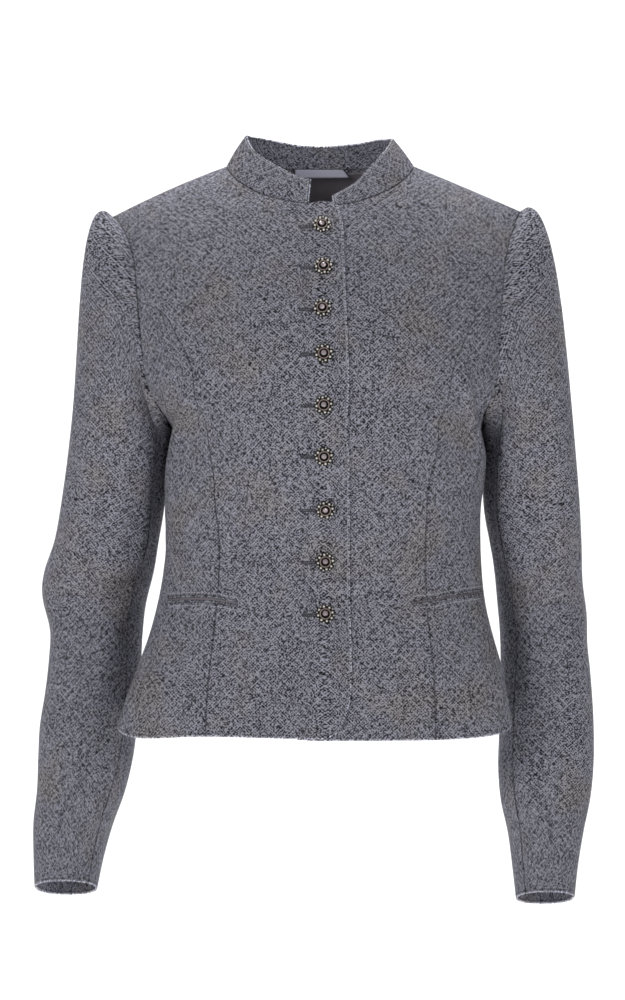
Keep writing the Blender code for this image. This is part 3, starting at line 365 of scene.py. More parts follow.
# Finer folds of the body, as rows of FOLDS: across and height of both ends, width, rise, face
FINE_FOLDS = (
    (-0.1253, -0.222, -0.1400, -0.305, 0.006, 0.0042, 1),
    (-0.1345, -0.222, -0.1475, -0.280, 0.006, -0.0042, 1),
    (-0.1420, -0.268, -0.1360, -0.330, 0.009, 0.0012, 1),
    (0.1330, -0.198, 0.1480, -0.280, 0.006, 0.0040, 1),
    (0.1425, -0.205, 0.1530, -0.262, 0.006, -0.0040, 1),
    (0.1440, -0.262, 0.1400, -0.325, 0.009, 0.0011, 1),
    (-0.0980, -0.100, -0.1480, -0.135, 0.015, -0.0012, 1),
    (0.1020, -0.098, 0.1500, -0.130, 0.015, -0.0012, 1),
    (-0.0850, -0.322, -0.1420, -0.352, 0.009, 0.0009, 1),
    (-0.1000, -0.372, -0.1460, -0.366, 0.009, -0.0010, 1),
    (0.0920, -0.332, 0.1400, -0.356, 0.009, 0.0008, 1),
    (0.1020, -0.378, 0.1440, -0.370, 0.010, -0.0010, 1),
    (-0.0300, -0.300, -0.0750, -0.345, 0.014, -0.0007, 1),
    (0.0450, -0.290, 0.0820, -0.340, 0.014, -0.0007, 1),
    (-0.0480, -0.440, -0.0420, -0.528, 0.016, -0.0010, 1),
    (0.0620, -0.445, 0.0580, -0.530, 0.017, -0.0010, 1),
    (-0.1350, -0.440, -0.1500, -0.520, 0.015, 0.0012, 1),
    (0.1300, -0.445, 0.1420, -0.518, 0.015, 0.0011, 1),
    (-0.0350, -0.065, -0.0700, -0.105, 0.016, -0.0008, 1),
    (0.0480, -0.060, 0.0780, -0.100, 0.016, -0.0008, 1),
    (-0.0200, -0.330, -0.0950, -0.322, 0.010, 0.0012, -1),
    (-0.0250, -0.352, -0.1150, -0.350, 0.010, -0.0014, -1),
    (0.0180, -0.338, 0.1000, -0.330, 0.010, 0.0012, -1),
    (0.0300, -0.362, 0.1180, -0.360, 0.011, -0.0014, -1),
    (-0.1180, -0.215, -0.0780, -0.140, 0.010, -0.0012, -1),
    (0.1220, -0.220, 0.0820, -0.145, 0.010, -0.0012, -1),
    (-0.0450, -0.025, -0.0950, -0.048, 0.014, -0.0008, -1),
    (0.0500, -0.027, 0.0980, -0.047, 0.014, -0.0008, -1),
    (-0.0700, -0.430, -0.0820, -0.525, 0.018, 0.0014, -1),
    (0.0740, -0.430, 0.0860, -0.525, 0.018, 0.0014, -1),
    (-0.0200, -0.440, -0.0180, -0.520, 0.014, -0.0010, -1),
)

# Finer folds of the sleeves, as rows of CREASES: angle round and height of both ends, width, rise
FINE_CREASES_RIGHT = (
    (182, -0.240, 182, -0.325, 0.018, 0.0044),
    (182, -0.240, 182, -0.258, 0.012, 0.0022),
    (128, -0.262, 140, -0.410, 0.010, 0.0022),
    (151, -0.262, 159, -0.410, 0.010, -0.0030),
    (165, -0.372, 120, -0.398, 0.007, -0.0022),
    (170, -0.408, 105, -0.446, 0.007, -0.0020),
    (160, -0.455, 118, -0.492, 0.009, -0.0016),
    (130, -0.392, 70, -0.404, 0.009, 0.0014),
    (140, -0.430, 85, -0.448, 0.009, 0.0012),
    (100, -0.560, 150, -0.600, 0.011, -0.0012),
    (120, -0.290, 160, -0.330, 0.011, -0.0014),
    (60, -0.300, 100, -0.350, 0.014, -0.0010),
    (20, -0.130, 60, -0.175, 0.010, -0.0010),
    (95, -0.150, 125, -0.230, 0.010, 0.0012),
    (-60, -0.110, -80, -0.190, 0.012, -0.0014),
    (225, -0.330, 260, -0.352, 0.009, -0.0016),
    (200, -0.420, 245, -0.440, 0.009, -0.0016),
    (-40, -0.440, 10, -0.452, 0.012, -0.0010),
    (60, -0.640, 130, -0.652, 0.010, 0.0007),
)
FINE_CREASES_LEFT = (
    (182, -0.244, 182, -0.298, 0.018, 0.0042),
    (182, -0.244, 182, -0.260, 0.012, 0.0022),
    (130, -0.232, 134, -0.400, 0.010, 0.0022),
    (152, -0.240, 156, -0.400, 0.010, -0.0030),
    (165, -0.378, 118, -0.402, 0.007, -0.0020),
    (168, -0.416, 108, -0.448, 0.007, -0.0018),
    (158, -0.462, 112, -0.500, 0.009, -0.0015),
    (60, -0.286, 20, -0.372, 0.008, 0.0016),
    (75, -0.300, 35, -0.382, 0.009, -0.0012),
    (120, -0.500, 80, -0.530, 0.011, -0.0014),
    (130, -0.300, 165, -0.340, 0.011, -0.0014),
    (30, -0.120, 65, -0.170, 0.010, -0.0010),
    (92, -0.150, 122, -0.240, 0.010, 0.0012),
    (-60, -0.110, -80, -0.190, 0.012, -0.0014),
    (222, -0.340, 258, -0.360, 0.009, -0.0016),
    (205, -0.430, 248, -0.450, 0.009, -0.0016),
    (-35, -0.450, 12, -0.462, 0.012, -0.0010),
    (70, -0.640, 125, -0.655, 0.010, 0.0007),
)

# Soft dents of the collar: share of its length, width as a share, rise at its edge
COLLAR_DENTS = (
    (0.10, 0.02, 0.0008),
    (0.27, 0.03, -0.0009),
    (0.44, 0.03, -0.0007),
    (0.60, 0.03, -0.0008),
    (0.76, 0.03, -0.0009),
    (0.90, 0.02, 0.0007),
)

# How far the upper lip of each pocket slit stands open
SLIT_GAPE = {"right": 0.0010, "left": 0.0003}

# Fine grid: near the rim its lines stand at these distances, elsewhere at even shares of a coarse cell
RIM_STEPS = (0.00012, 0.00035, 0.0007, 0.0012, 0.0020, 0.0032, 0.0048)
# How far the sleeve starts under the body, its usual radius, and the length over which its folds start
SLEEVE_TUCK = 0.0006
SLEEVE_RADIUS = 0.05
CREASE_FADE = 0.007
WAIST_Z = -0.345
# Height from which the foot of the princess seam is looked for
PRINCESS_FOOT = -0.535
HEM_TURN = 0.0032
COLLAR_ROLL = 0.0013
COLLAR_BOW = 0.0009
COLLAR_STITCH_SHIFT = 0.0006

# Soft lights: name, place, aim, size across and along, power in watts
LIGHTS = (
    ("key", (-1.9, -2.4, 0.6), (0.0, 0.0, -0.35), (1.1, 1.1), 32.0),
    ("fill", (2.0, -2.3, 0.4), (0.0, 0.0, -0.35), (1.1, 1.3), 22.0),
    ("top", (0.0, -0.2, 1.5), (0.0, 0.0, -0.30), (1.4, 1.0), 3.0),
    ("left_edge", (-2.0, 0.5, 0.1), (0.0, 0.0, -0.35), (0.8, 1.6), 1.2),
    ("right_edge", (2.0, 0.5, 0.1), (0.0, 0.0, -0.35), (0.8, 1.6), 1.2),
    ("wall", (0.0, 1.2, 2.6), (0.0, 3.0, -0.30), (3.0, 1.0), 170.0),
)


MATHS = "ShaderNodeMath"

# Least side of a piece's rectangle, and least share of that rectangle taken as its area, in a figure that
# cloth_piece works out but does not use. The least side that a sheet states, and the least share of its
# rectangle that it states as area. The welts, pocket mouths and hanger loop measure less: they state up to
# 3.1 mm more width or 16% more area than cut
SHEET_SIDE = 0.0101
SHEET_SHARE = 0.301

# Backdrop: height of the floor, distance of the wall, radius of the sweep between them
FLOOR_Z = -1.25
WALL_Y = 3.0
SWEEP_RADIUS = 0.8

# Camera: its place, and the height in metres that the picture shows in the plane of the garment
CAMERA_PLACE = (-0.0071, -3.0, -0.3169)
VIEW_HEIGHT = 0.95


class JacketSizes(bpy.types.PropertyGroup):
    """Sizes of the cloth and its trimmings."""

    thickness: FloatProperty(
        name="Cloth thickness", description="Thickness of the jersey wall", default=0.0020, unit="LENGTH"
    )
    seam_round: FloatProperty(
        name="Seam roll", description="Width of the cloth's roll into a seam", default=0.0013, unit="LENGTH"
    )
    motif: FloatProperty(
        name="Diamond repeat", description="Width of one woven diamond", default=0.0082, unit="LENGTH"
    )
    fleck: FloatProperty(
        name="Fleck", description="Width of one fleck of the melange yarn", default=0.0012, unit="LENGTH"
    )
    dash: FloatProperty(
        name="Dash spacing", description="Spacing of the slanting loops", default=0.0022, unit="LENGTH"
    )
    stitch: FloatProperty(
        name="Stitch length", description="One topstitch with its gap", default=0.0030, unit="LENGTH"
    )
    thread: FloatProperty(
        name="Thread width", description="Half width of the topstitch thread", default=0.00040, unit="LENGTH"
    )
    inset: FloatProperty(
        name="Topstitch inset", description="From an edge to the topstitch", default=0.0022, unit="LENGTH"
    )


def linear(code):
    """Linear colour of an sRGB hex code."""
    parts = [int(code[k : k + 2], 16) / 255 for k in (0, 2, 4)]
    return tuple(c / 12.92 if c <= 0.04045 else ((c + 0.055) / 1.055) ** 2.4 for c in parts) + (1.0,)


def colour(name, description, code):
    """Colour property that starts from a hex code."""
    return FloatVectorProperty(
        name=name, description=description, subtype="COLOR", size=4, default=linear(code)
    )


class JacketColours(bpy.types.PropertyGroup):
    """Colours of the cloth and its trimmings."""

    light_yarn: colour("Light yarn", "Grey-white yarn of the melange", "b4b4c2")
    warm_yarn: colour("Warm yarn", "Brownish pale yarn of the melange", "b0aaa6")
    dark_yarn: colour("Dark yarn", "Blue-black yarn of the melange", "1b1a20")
    fuzz: colour("Nap", "Fine hairs that catch light at grazing angles", "a8a09c")
    thread: colour("Thread", "Topstitch thread", "d6d6e0")
    hole_thread: colour("Buttonhole thread", "Dark thread of the worked buttonholes", "4a4953")
    lining: colour("Lining", "Dark smooth lining", "8a838a")
    ribbon: colour("Ribbon", "Satin of the hanger loop", "e6e6fa")
    bead: colour("Bead", "Bright cast beads", "fffaf2")
    ring: colour("Ring", "Setting round the crystal", "b8a59e")
    recess: colour("Recess", "Blackened ground of the buttons", "17140f")
    crystal: colour("Crystal", "Pale rose crystal", "dccbd0")
    floor: colour("Floor", "Pale studio floor", "f4f4f4")


def smooth(knots, values, at):
    """Cubic curve through the knots; its slope at a knot is the mean slope across its neighbours."""
    knots = np.asarray(knots, float)
    values = np.asarray(values, float)
    if knots[0] > knots[-1]:
        knots = knots[::-1]
        values = values[::-1]
    slope = np.gradient(values, knots, axis=0)
    at = np.clip(at, knots[0], knots[-1])
    low = np.clip(np.searchsorted(knots, at) - 1, 0, len(knots) - 2)
    wide = at.shape + (1,) * (values.ndim - 1)
    span = (knots[low + 1] - knots[low]).reshape(wide)
    t = (at - knots[low]).reshape(wide) / span
    start = (2 * t**3 - 3 * t**2 + 1) * values[low] + (t**3 - 2 * t**2 + t) * span * slope[low]
    end = (3 * t**2 - 2 * t**3) * values[low + 1] + (t**3 - t**2) * span * slope[low + 1]
    return start + end


def column(rows, columns, name):
    """One named column of a table."""
    return np.array([row[columns.index(name)] for row in rows], float)


def read(rows, columns, name, at):
    """Smooth value of a named column at a place along the table's first column."""
    return smooth(column(rows, columns, columns[0]), column(rows, columns, name), at)


def unit(vectors):
    """Vectors at length one."""
    return vectors / np.maximum(np.linalg.norm(vectors, axis=-1, keepdims=True), 1e-12)


def face_name(behind):
    """Name of the half of the torso in the shoulder tables."""
    return "back" if behind else "front"


def ridge(x):
    """Height of the shoulder line at a point across: a slight bow to each tip, a low arch inside the neck."""
    neck = np.where(x < 0, NECK_X["right"], NECK_X["left"])
    height = NECK_RISE * (1.0 - (x / neck) ** 2)
    for side, beyond in (("right", x < NECK_X["right"]), ("left", x > NECK_X["left"])):
        share = (x - NECK_X[side]) / (TIP[side][0] - NECK_X[side])
        bow = 4 * SHOULDER_BOW[side] * share * (1 - share)
        height = np.where(beyond, TIP[side][1] * share + bow, height)
    return height


def section(w, z, behind):
    """Across, middle depth and reach of the torso section at a height, for shares w round it."""
    turn = w * math.pi / 2
    half = np.where(w < 0, read(BODY, BODY_COLUMNS, "right", z), read(BODY, BODY_COLUMNS, "left", z))
    square = read(BODY, BODY_COLUMNS, "behind", z) if behind else FRONT_SQUARE
    across = np.sign(w) * np.abs(np.sin(turn)) ** (2 / square) * half
    x = read(BODY, BODY_COLUMNS, "middle", z) + across
    side = read(BODY, BODY_COLUMNS, "side", z)
    edge = read(BODY, BODY_COLUMNS, face_name(behind), z)
    reach = (edge - side) * np.abs(np.cos(turn)) ** (2 / square)
    return x, side, reach


def drop(v, behind):
    """Share of the shoulder height below the ridge at a step v down the cloth."""
    power = SHOULDER_POWER[face_name(behind)]
    return np.where(v < 1, np.maximum(v, 0) ** power, 1 + power * (v - 1))


def torso(w, v, behind):
    """Points of the cloth's outer face.

    w is the share round: 0 in the front middle, 1 and -1 at the sides, 2 and -2 at the back. v runs down from
    the ridge.
    """
    w = np.asarray(w, float)
    v = np.asarray(v, float)
    name = face_name(behind)
    fall = drop(v, behind)
    z = np.full(np.broadcast(w, v).shape, -0.2)
    for _ in range(30):
        x = section(w, z, behind)[0]
        z = ridge(x) - SHOULDER_HEIGHT[name] * fall
    x, side, reach = section(w, z, behind)
    power = SHOULDER_POWER[name]
    close = (1 - np.clip(1 - fall, 0, 1) ** power) ** (1 / power)
    return np.stack([x, side * close + reach * close, z], axis=-1)


def normals(w, v, behind):
    """Unit vectors out of the torso, from small steps along the cloth."""
    step = 0.0005
    sign = np.where(w < 0, -1.0, 1.0)
    inner, outer = (1.0, 2.0) if behind else (-1.0, 1.0)
    share = np.abs(w) if behind else w
    low = np.clip(share - step, inner, outer)
    high = np.clip(share + step, inner, outer)
    if behind:
        low, high = np.where(w < 0, -high, low), np.where(w < 0, -low, high)
    along = torso(high, v, behind) - torso(low, v, behind)
    down = torso(w, v + step, behind) - torso(w, np.maximum(v - step, 0), behind)
    return unit(-np.cross(along, down)) * np.abs(sign)[..., None]


def bell(flat, line, width, rise):
    """Height of one soft fold at flat places from its start: a bell across its line, fading at both ends."""
    t = np.clip(flat @ line / (line @ line), 0, 1)
    off = np.linalg.norm(flat - t[..., None] * line, axis=-1)
    return rise * np.exp(-((off / width) ** 2)) * (0.35 + 0.65 * np.sin(math.pi * t))


def fold_rise(points, behind):
    """Height of the soft folds at points of the body."""
    face = -1 if behind else 1
    total = np.zeros(points.shape[:-1])
    for x0, z0, x1, z1, width, rise, side in FOLDS + FINE_FOLDS:
        if side == face:
            start = np.array([x0, z0])
            total += bell(points[..., [0, 2]] - start, np.array([x1, z1]) - start, width, rise)
    return total


def cloth(w, v, behind, lap=0.0):
    """Outer face and outward vectors of the body cloth; lap lifts one front over the other."""
    points = torso(w, v, behind)
    out = normals(w, v, behind)
    lift = fold_rise(points, behind)
    if lap:
        away = np.abs(points[..., 0]) - LAP_FULL
        fade = np.clip(1 - away / LAP_FADE, 0, 1)
        lift = lift + lap * fade**2 * (3 - 2 * fade)
    return points + out * lift[..., None], out


def locate(x, z, behind):
    """Shares w and steps v of points given by distance across and height."""
    x = np.asarray(x, float)
    z = np.asarray(z, float)
    middle = read(BODY, BODY_COLUMNS, "middle", z)
    half = np.where(
        x < middle,
        read(BODY, BODY_COLUMNS, "right", z),
        read(BODY, BODY_COLUMNS, "left", z),
    )
    square = read(BODY, BODY_COLUMNS, "behind", z) if behind else FRONT_SQUARE
    share = np.clip(np.abs(x - middle) / half, 0, 1)
    w = np.arcsin(share ** (square / 2)) * 2 / math.pi
    if behind:
        w = 2 - w
    return np.where(x < middle, -w, w), step_down(x, z, behind)


def step_down(x, z, behind):
    """Step v of a point at distance across x and height z."""
    name = face_name(behind)
    fall = np.maximum((ridge(x) - z) / SHOULDER_HEIGHT[name], 0)
    power = SHOULDER_POWER[name]
    return np.where(fall < 1, fall ** (1 / power), 1 + (fall - 1) / power)


def at_share(w, z, behind):
    """Shares and steps of points given by share round and height."""
    w = np.asarray(w, float)
    z = np.asarray(z, float)
    return np.stack([w, step_down(section(w, z, behind)[0], z, behind)], axis=-1)


def across(rows, behind):
    """Shares and steps of rows of distance across and height."""
    rows = np.asarray(rows, float)
    return np.stack(locate(rows[:, 0], rows[:, 1], behind), axis=-1)


def trace(line, count, behind):
    """Even steps, measured on the cloth, along a smooth line through shares and steps."""
    chord = np.linalg.norm(np.diff(torso(line[:, 0], line[:, 1], behind), axis=0), axis=1)
    along = np.concatenate([[0], np.cumsum(chord)])
    fine = np.linspace(0, along[-1], 240)
    dense = np.stack([smooth(along, line[:, k], fine) for k in range(2)], axis=-1)
    dense[:, 1] = np.maximum(dense[:, 1], 0)
    steps = np.linalg.norm(np.diff(torso(dense[:, 0], dense[:, 1], behind), axis=0), axis=1)
    length = np.concatenate([[0], np.cumsum(steps)])
    even = np.linspace(0, length[-1], count + 1)
    return np.stack([np.interp(even, length, dense[:, k]) for k in range(2)], axis=-1)


def join(*lines):
    """Lines end to end, each shared point once."""
    return np.concatenate([lines[0]] + [line[1:] for line in lines[1:]])


def patch(start, end, top, bottom):
    """Grid of shares and steps between four edges: start and end run down, top and bottom from start to end.

    The inside is a blend of the edges. Each inner point then moves many times to the mean of its neighbours,
    those along a row weighted by the spacing of the rows and those in a column by the spacing of the columns,
    less a term for the slant between the two. Lines laid out this way don't cross, even beside a hollow edge.
    """
    s = np.linspace(0, 1, len(top))[None, :, None]
    t = np.linspace(0, 1, len(start))[:, None, None]
    across_part = (1 - s) * start[:, None] + s * end[:, None]
    down_part = (1 - t) * top[None] + t * bottom[None]
    corners = (1 - s) * (1 - t) * top[0] + s * (1 - t) * top[-1]
    corners = corners + (1 - s) * t * bottom[0] + s * t * bottom[-1]
    grid = across_part + down_part - corners
    for _ in range(SMOOTH_STEPS):
        left, right = grid[1:-1, :-2], grid[1:-1, 2:]
        above, below = grid[:-2, 1:-1], grid[2:, 1:-1]
        twist = grid[2:, 2:] - grid[2:, :-2] - grid[:-2, 2:] + grid[:-2, :-2]
        wide = np.sum((right - left) ** 2, axis=-1, keepdims=True)
        tall = np.sum((below - above) ** 2, axis=-1, keepdims=True)
        slant = np.sum((right - left) * (below - above), axis=-1, keepdims=True)
        moved = tall * (left + right) + wide * (above + below) - slant * twist / 2
        grid[1:-1, 1:-1] = moved / (2 * (tall + wide))
    return grid


def signed(side, distance):
    """Distance across on one side of the jacket."""
    return -distance if side == "right" else distance


def neck_point(side, turn, behind):
    """Point of the neck seam at a turn from the shoulder, 0, to the middle, 90 degrees, as share and step."""
    x = NECK_X[side] * math.cos(math.radians(turn))
    y = (NECK_BACK if behind else NECK_FRONT) * math.sin(math.radians(turn))
    power = SHOULDER_POWER[face_name(behind)]
    z = 0.0
    for _ in range(20):
        w = locate(x, z, behind)[0]
        reach = section(w, z, behind)[2]
        close = min(float(y / reach), 1.0)
        fall = 1 - (1 - close**power) ** (1 / power)
        z = float(ridge(x) - SHOULDER_HEIGHT[face_name(behind)] * fall)
    return np.stack(locate(x, z, behind), axis=-1)


def front_neck(side):
    """Neck seam of one front, from the collar end to the neck point of the shoulder."""
    last = math.degrees(math.acos(abs(COLLAR_END_X[side]) / abs(NECK_X[side])))
    line = np.array([neck_point(side, turn, False) for turn in np.linspace(last, 0, 14)])
    return trace(line, N_NECK_FRONT, False)


def back_neck(side):
    """Neck seam of one back half, from the middle to the neck point."""
    line = np.array([neck_point(side, turn, True) for turn in np.linspace(88, 0, 12)])
    middle = at_share(-2.0 if side == "right" else 2.0, BACK_NECK_Z, True)
    return trace(np.concatenate([middle[None], line]), N_NECK_BACK, True)


def shoulder(side, behind):
    """Shoulder seam from the neck point to the tip."""
    xs = np.linspace(NECK_X[side], TIP[side][0], N_SHOULDER + 1)
    return across([(x, float(ridge(x))) for x in xs], behind)


def armhole_front(side):
    """Front armhole seam as rows across: above the princess seam, and below it to the armpit."""
    high = [TIP[side]]
    low = []
    start = PRINCESS[0]
    for row in ARMHOLE_FRONT:
        point = (signed(side, row[ARMHOLE_COLUMNS.index(side)]), row[0])
        if row[0] > start[0]:
            high.append(point)
        else:
            low.append(point)
    meet = (signed(side, start[PRINCESS_COLUMNS.index(side)]), start[0])
    armpit = at_share(-1.0 if side == "right" else 1.0, ARMPIT_Z, False)[None]
    upper = trace(across(high + [meet], False), N_ARM_HIGH, False)
    lower = trace(np.concatenate([across([meet] + low, False), armpit]), N_ARM_LOW, False)
    return upper, lower


def armhole_back(side):
    """Back armhole seam from the tip to the armpit."""
    rows = [TIP[side]]
    for row in ARMHOLE_BACK:
        rows.append((signed(side, row[ARMHOLE_COLUMNS.index(side)]), row[0]))
    armpit = at_share(-1.0 if side == "right" else 1.0, ARMPIT_Z, True)[None]
    return trace(np.concatenate([across(rows, True), armpit]), N_ARM_BACK, True)


def hem_z(share, side):
    """Hem height at a share of the way round from the front middle."""
    return float(read(HEM, HEM_COLUMNS, side, abs(share)))


def hem_between(start, end, side, count, behind):
    """Hem from one share to another."""
    shares = np.linspace(start, end, 9)
    line = np.array([at_share(w, hem_z(w, side), behind) for w in shares])
    return trace(line, count, behind)


def princess(side):
    """Princess seam from the armhole to the hem."""
    rows = []
    for row in PRINCESS:
        rows.append((signed(side, row[PRINCESS_COLUMNS.index(side)]), row[0]))
    foot_x = PRINCESS_HEM_X[side]
    foot_z = PRINCESS_FOOT
    for _ in range(4):
        share = float(locate(foot_x, foot_z, False)[0])
        foot_z = hem_z(share, side)
    rows.append((foot_x, foot_z))
    return trace(across(rows, False), N_PRINCESS, False)


def side_seam(side, behind):
    """Side seam from the armpit to the hem."""
    w = -1.0 if side == "right" else 1.0
    heights = np.linspace(ARMPIT_Z, hem_z(w, side), 14)
    line = np.array([at_share(w, z, behind) for z in heights])
    return trace(line, N_SIDE, behind)


def front_grid(side):
    """Grid of one front, from its free edge to the armhole and princess seam."""
    upper, _ = armhole_front(side)
    end = join(upper, princess(side))
    rows = len(end) - 1
    neck = front_neck(side)
    if side == "right":
        start = trace(across(OVER_EDGE, False), rows, False)
        free = trace(np.concatenate([start[:1], across([OVER_NECK_START], False), neck[:1]]), N_FREE, False)
        columns = N_FREE + N_NECK_FRONT + N_SHOULDER
        hem_points = across(OVER_HEM_START, False)
        shares = np.linspace(hem_points[-1, 0], end[-1, 0], 10)[1:]
        hem = np.array([at_share(w, hem_z(w, side), False) for w in shares])
        bottom = trace(np.concatenate([start[-1:], hem_points, hem]), columns, False)
    else:
        heights = np.linspace(UNDER_NECK_Z, hem_z(0.0, side) + 0.001, 14)
        start = trace(across([(UNDER_EDGE_X, z) for z in heights], False), rows, False)
        free = trace(np.concatenate([start[:1], neck[:1]]), N_FREE, False)
        columns = N_FREE + N_NECK_FRONT + N_SHOULDER
        shares = np.linspace(start[-1, 0], end[-1, 0], 12)[1:]
        hem = np.array([at_share(w, hem_z(w, side), False) for w in shares])
        bottom = trace(np.concatenate([start[-1:], hem]), columns, False)
    top = join(free, neck, shoulder(side, False))
    return patch(start, end, top, bottom)


def side_front_grid(side):
    """Grid of one side front, from the princess seam to the side seam."""
    _, lower = armhole_front(side)
    start = princess(side)
    end = side_seam(side, False)
    bottom = hem_between(start[-1, 0], end[-1, 0], side, N_ARM_LOW, False)
    return patch(start, end, lower, bottom)


def back_grid(side):
    """Grid of one back half, from the middle to the armhole and side seam."""
    w = -2.0 if side == "right" else 2.0
    end = join(armhole_back(side), side_seam(side, True))
    heights = np.linspace(BACK_NECK_Z, hem_z(w, side), 16)
    middle = np.array([at_share(w, z, True) for z in heights])
    start = trace(middle, len(end) - 1, True)
    neck = back_neck(side)
    neck[0] = start[0]
    top = join(neck, shoulder(side, True))
    bottom = hem_between(w, end[-1, 0], side, len(top) - 1, True)
    return patch(start, end, top, bottom)


def armhole_ring(side):
    """Points and outward vectors round the armhole, from the tip down the front and up the back."""
    upper, lower = armhole_front(side)
    front = join(upper, lower)
    back = armhole_back(side)[::-1]
    front_points, front_out = cloth(front[:, 0], front[:, 1], False)
    back_points, back_out = cloth(back[:, 0], back[:, 1], True)
    points = np.concatenate([front_points, back_points[1:]])
    out = np.concatenate([front_out, back_out[1:]])
    out[len(front_points) - 1] = unit(front_out[-1] + back_out[0])
    out[0] = unit(front_out[0] + back_out[-1])
    out[-1] = out[0]
    return points, out


def tube(side, z, angle):
    """Outer face of a sleeve section at height z; angle 0 is outer, 90 front, 180 inner and 270 back."""
    rows = SLEEVE_RIGHT if side == "right" else SLEEVE_LEFT
    values = {name: read(rows, SLEEVE_COLUMNS, name, z) for name in SLEEVE_COLUMNS[1:]}
    turn = np.radians(angle)
    cosine = np.sign(np.cos(turn)) * np.abs(np.cos(turn)) ** (2 / values["square"])
    sine = np.sign(np.sin(turn)) * np.abs(np.sin(turn)) ** (2 / values["square"])
    centre = (values["outer"] + values["inner"]) / 2
    half = (values["outer"] - values["inner"]) / 2
    lean = np.radians(values["lean"])
    x = centre + half * cosine
    y = values["middle"] - values["depth"] * sine * np.cos(lean)
    height = z + values["depth"] * sine * np.sin(lean)
    return np.stack([x, y, height], axis=-1)


def sleeve_grid(side):
    """Outer face of a whole sleeve as rows of rings, and the angle of each column."""
    points, out = armhole_ring(side)
    centre = np.array([0.0, 0.0, ARMHOLE_MIDDLE_Z])
    flat = points - centre
    angle = np.degrees(np.arctan2(-flat[:, 1], flat[:, 2])) % 360
    angle[0] = 0.0
    angle[-1] = 360.0
    closed = np.concatenate([points[-2:-1], points, points[1:2]])
    along = unit(closed[2:] - closed[:-2])
    into = unit(np.cross(along, out))
    toward = centre - points
    toward[:, 0] = 0
    into *= np.sign(np.sum(into * toward, axis=1))[:, None]
    rows = HEAD_RIGHT if side == "right" else HEAD_LEFT
    rise = np.radians(read(rows, HEAD_COLUMNS, "rise", angle))[:, None]
    reach = read(rows, HEAD_COLUMNS, "reach", angle)[:, None]
    leave = reach * (np.cos(rise) * into + np.sin(rise) * out)
    start = points - into * SLEEVE_TUCK
    table = SLEEVE_RIGHT if side == "right" else SLEEVE_LEFT
    top_z, foot_z = table[0][0], table[-1][0]
    first = tube(side, np.full(len(angle), top_z), angle)
    slope = (first - tube(side, np.full(len(angle), top_z - 0.004), angle)) / 0.004
    length = HEAD_END_REACH * np.maximum(points[:, 2] - top_z, 0.012)[:, None]
    arrive = -slope * length
    grid = []
    for t in np.linspace(0, 1, N_HEAD + 1)[:-1] ** 1.15:
        row = (2 * t**3 - 3 * t**2 + 1) * start + (t**3 - 2 * t**2 + t) * leave
        row = row + (3 * t**2 - 2 * t**3) * first + (t**3 - t**2) * arrive
        grid.append(row)
    for z in np.linspace(top_z, foot_z, N_SLEEVE + 1):
        grid.append(tube(side, np.full(len(angle), z), angle))
    return np.array(grid), angle


def crease_rise(grid, angle, side):
    """Height of the soft folds of a sleeve, which fade at the armhole."""
    rows = CREASES_RIGHT + FINE_CREASES_RIGHT if side == "right" else CREASES_LEFT + FINE_CREASES_LEFT
    rise = np.zeros(grid.shape[:2])
    for a0, z0, a1, z1, width, height in rows:
        line = np.array([math.radians(a1 - a0) * SLEEVE_RADIUS, z1 - z0])
        turn = np.radians((angle - a0 + 180) % 360 - 180)
        flat = np.stack([turn[None, :] * SLEEVE_RADIUS + 0 * grid[..., 2], grid[..., 2] - z0], axis=-1)
        rise += bell(flat, line, width, height)
    below = run(grid, 0)
    return rise * np.clip(below / CREASE_FADE, 0, 1) ** 1.5


def collar_base():
    """Neck seam points from the right collar end round the back to the left one."""
    parts = []
    for side, lap in (("right", LAP_SHIFT), ("left", -LAP_SHIFT)):
        line = front_neck(side)
        points = cloth(line[:, 0], line[:, 1], False, lap)[0]
        back = back_neck(side)[::-1]
        behind = cloth(back[:, 0], back[:, 1], True)[0]
        parts.append(np.concatenate([points, behind[1:]]))
    right, left = parts
    middle = (right[-1] + left[-1]) / 2
    return np.concatenate([right[:-1], [middle], left[:-1][::-1]])


def collar_grid():
    """Outer grid of the stand collar, from the neck seam up to its edge."""
    base = collar_base()
    chord = np.linalg.norm(np.diff(base, axis=0), axis=1)
    share = np.concatenate([[0], np.cumsum(chord)]) / chord.sum()
    along = np.gradient(base, axis=0)
    along[:, 2] = 0
    level = unit(np.cross(along, np.array([0.0, 0.0, 1.0])))
    toward = -base
    toward[:, 2] = 0
    level *= np.sign(np.sum(level * toward, axis=1))[:, None]
    up = read(COLLAR, COLLAR_COLUMNS, "up", share)[:, None]
    inward = read(COLLAR, COLLAR_COLUMNS, "inward", share)[:, None]
    rise = up * np.array([0.0, 0.0, 1.0]) + inward * level
    return np.stack([base + rise * t for t in (0.0, 0.35, 0.7, 1.0)])


def stops(count, split, length):
    """Places of the fine lines in coarse cells: even shares of a cell, and the rim steps at both ends."""
    cell = length / count
    near = np.array(RIM_STEPS) / cell
    even = np.arange(0, count * split + 1) / split
    inside = even[(even > near[-1] * 1.25) & (even < count - near[-1] * 1.25)]
    return np.concatenate([[0.0], near, inside, count - near[::-1], [float(count)]])


def refine(points, places, cuts):
    """Cubic curves through the first axis of points at fractional places, free to turn at the cuts."""
    marks = [0, *cuts, len(points) - 1]
    parts = []
    for low, high in zip(marks[:-1], marks[1:]):
        here = places[(places >= low) & ((places < high) | (high == marks[-1]))]
        parts.append(smooth(np.arange(low, high + 1), points[low : high + 1], here))
    return np.concatenate(parts)


def finer(grid, rows, columns, cut_rows=(), cut_columns=()):
    """Fine grid at fractional rows and columns of a coarse one."""
    tall = refine(grid, rows, cut_rows)
    return np.moveaxis(refine(np.moveaxis(tall, 1, 0), columns, cut_columns), 0, 1)


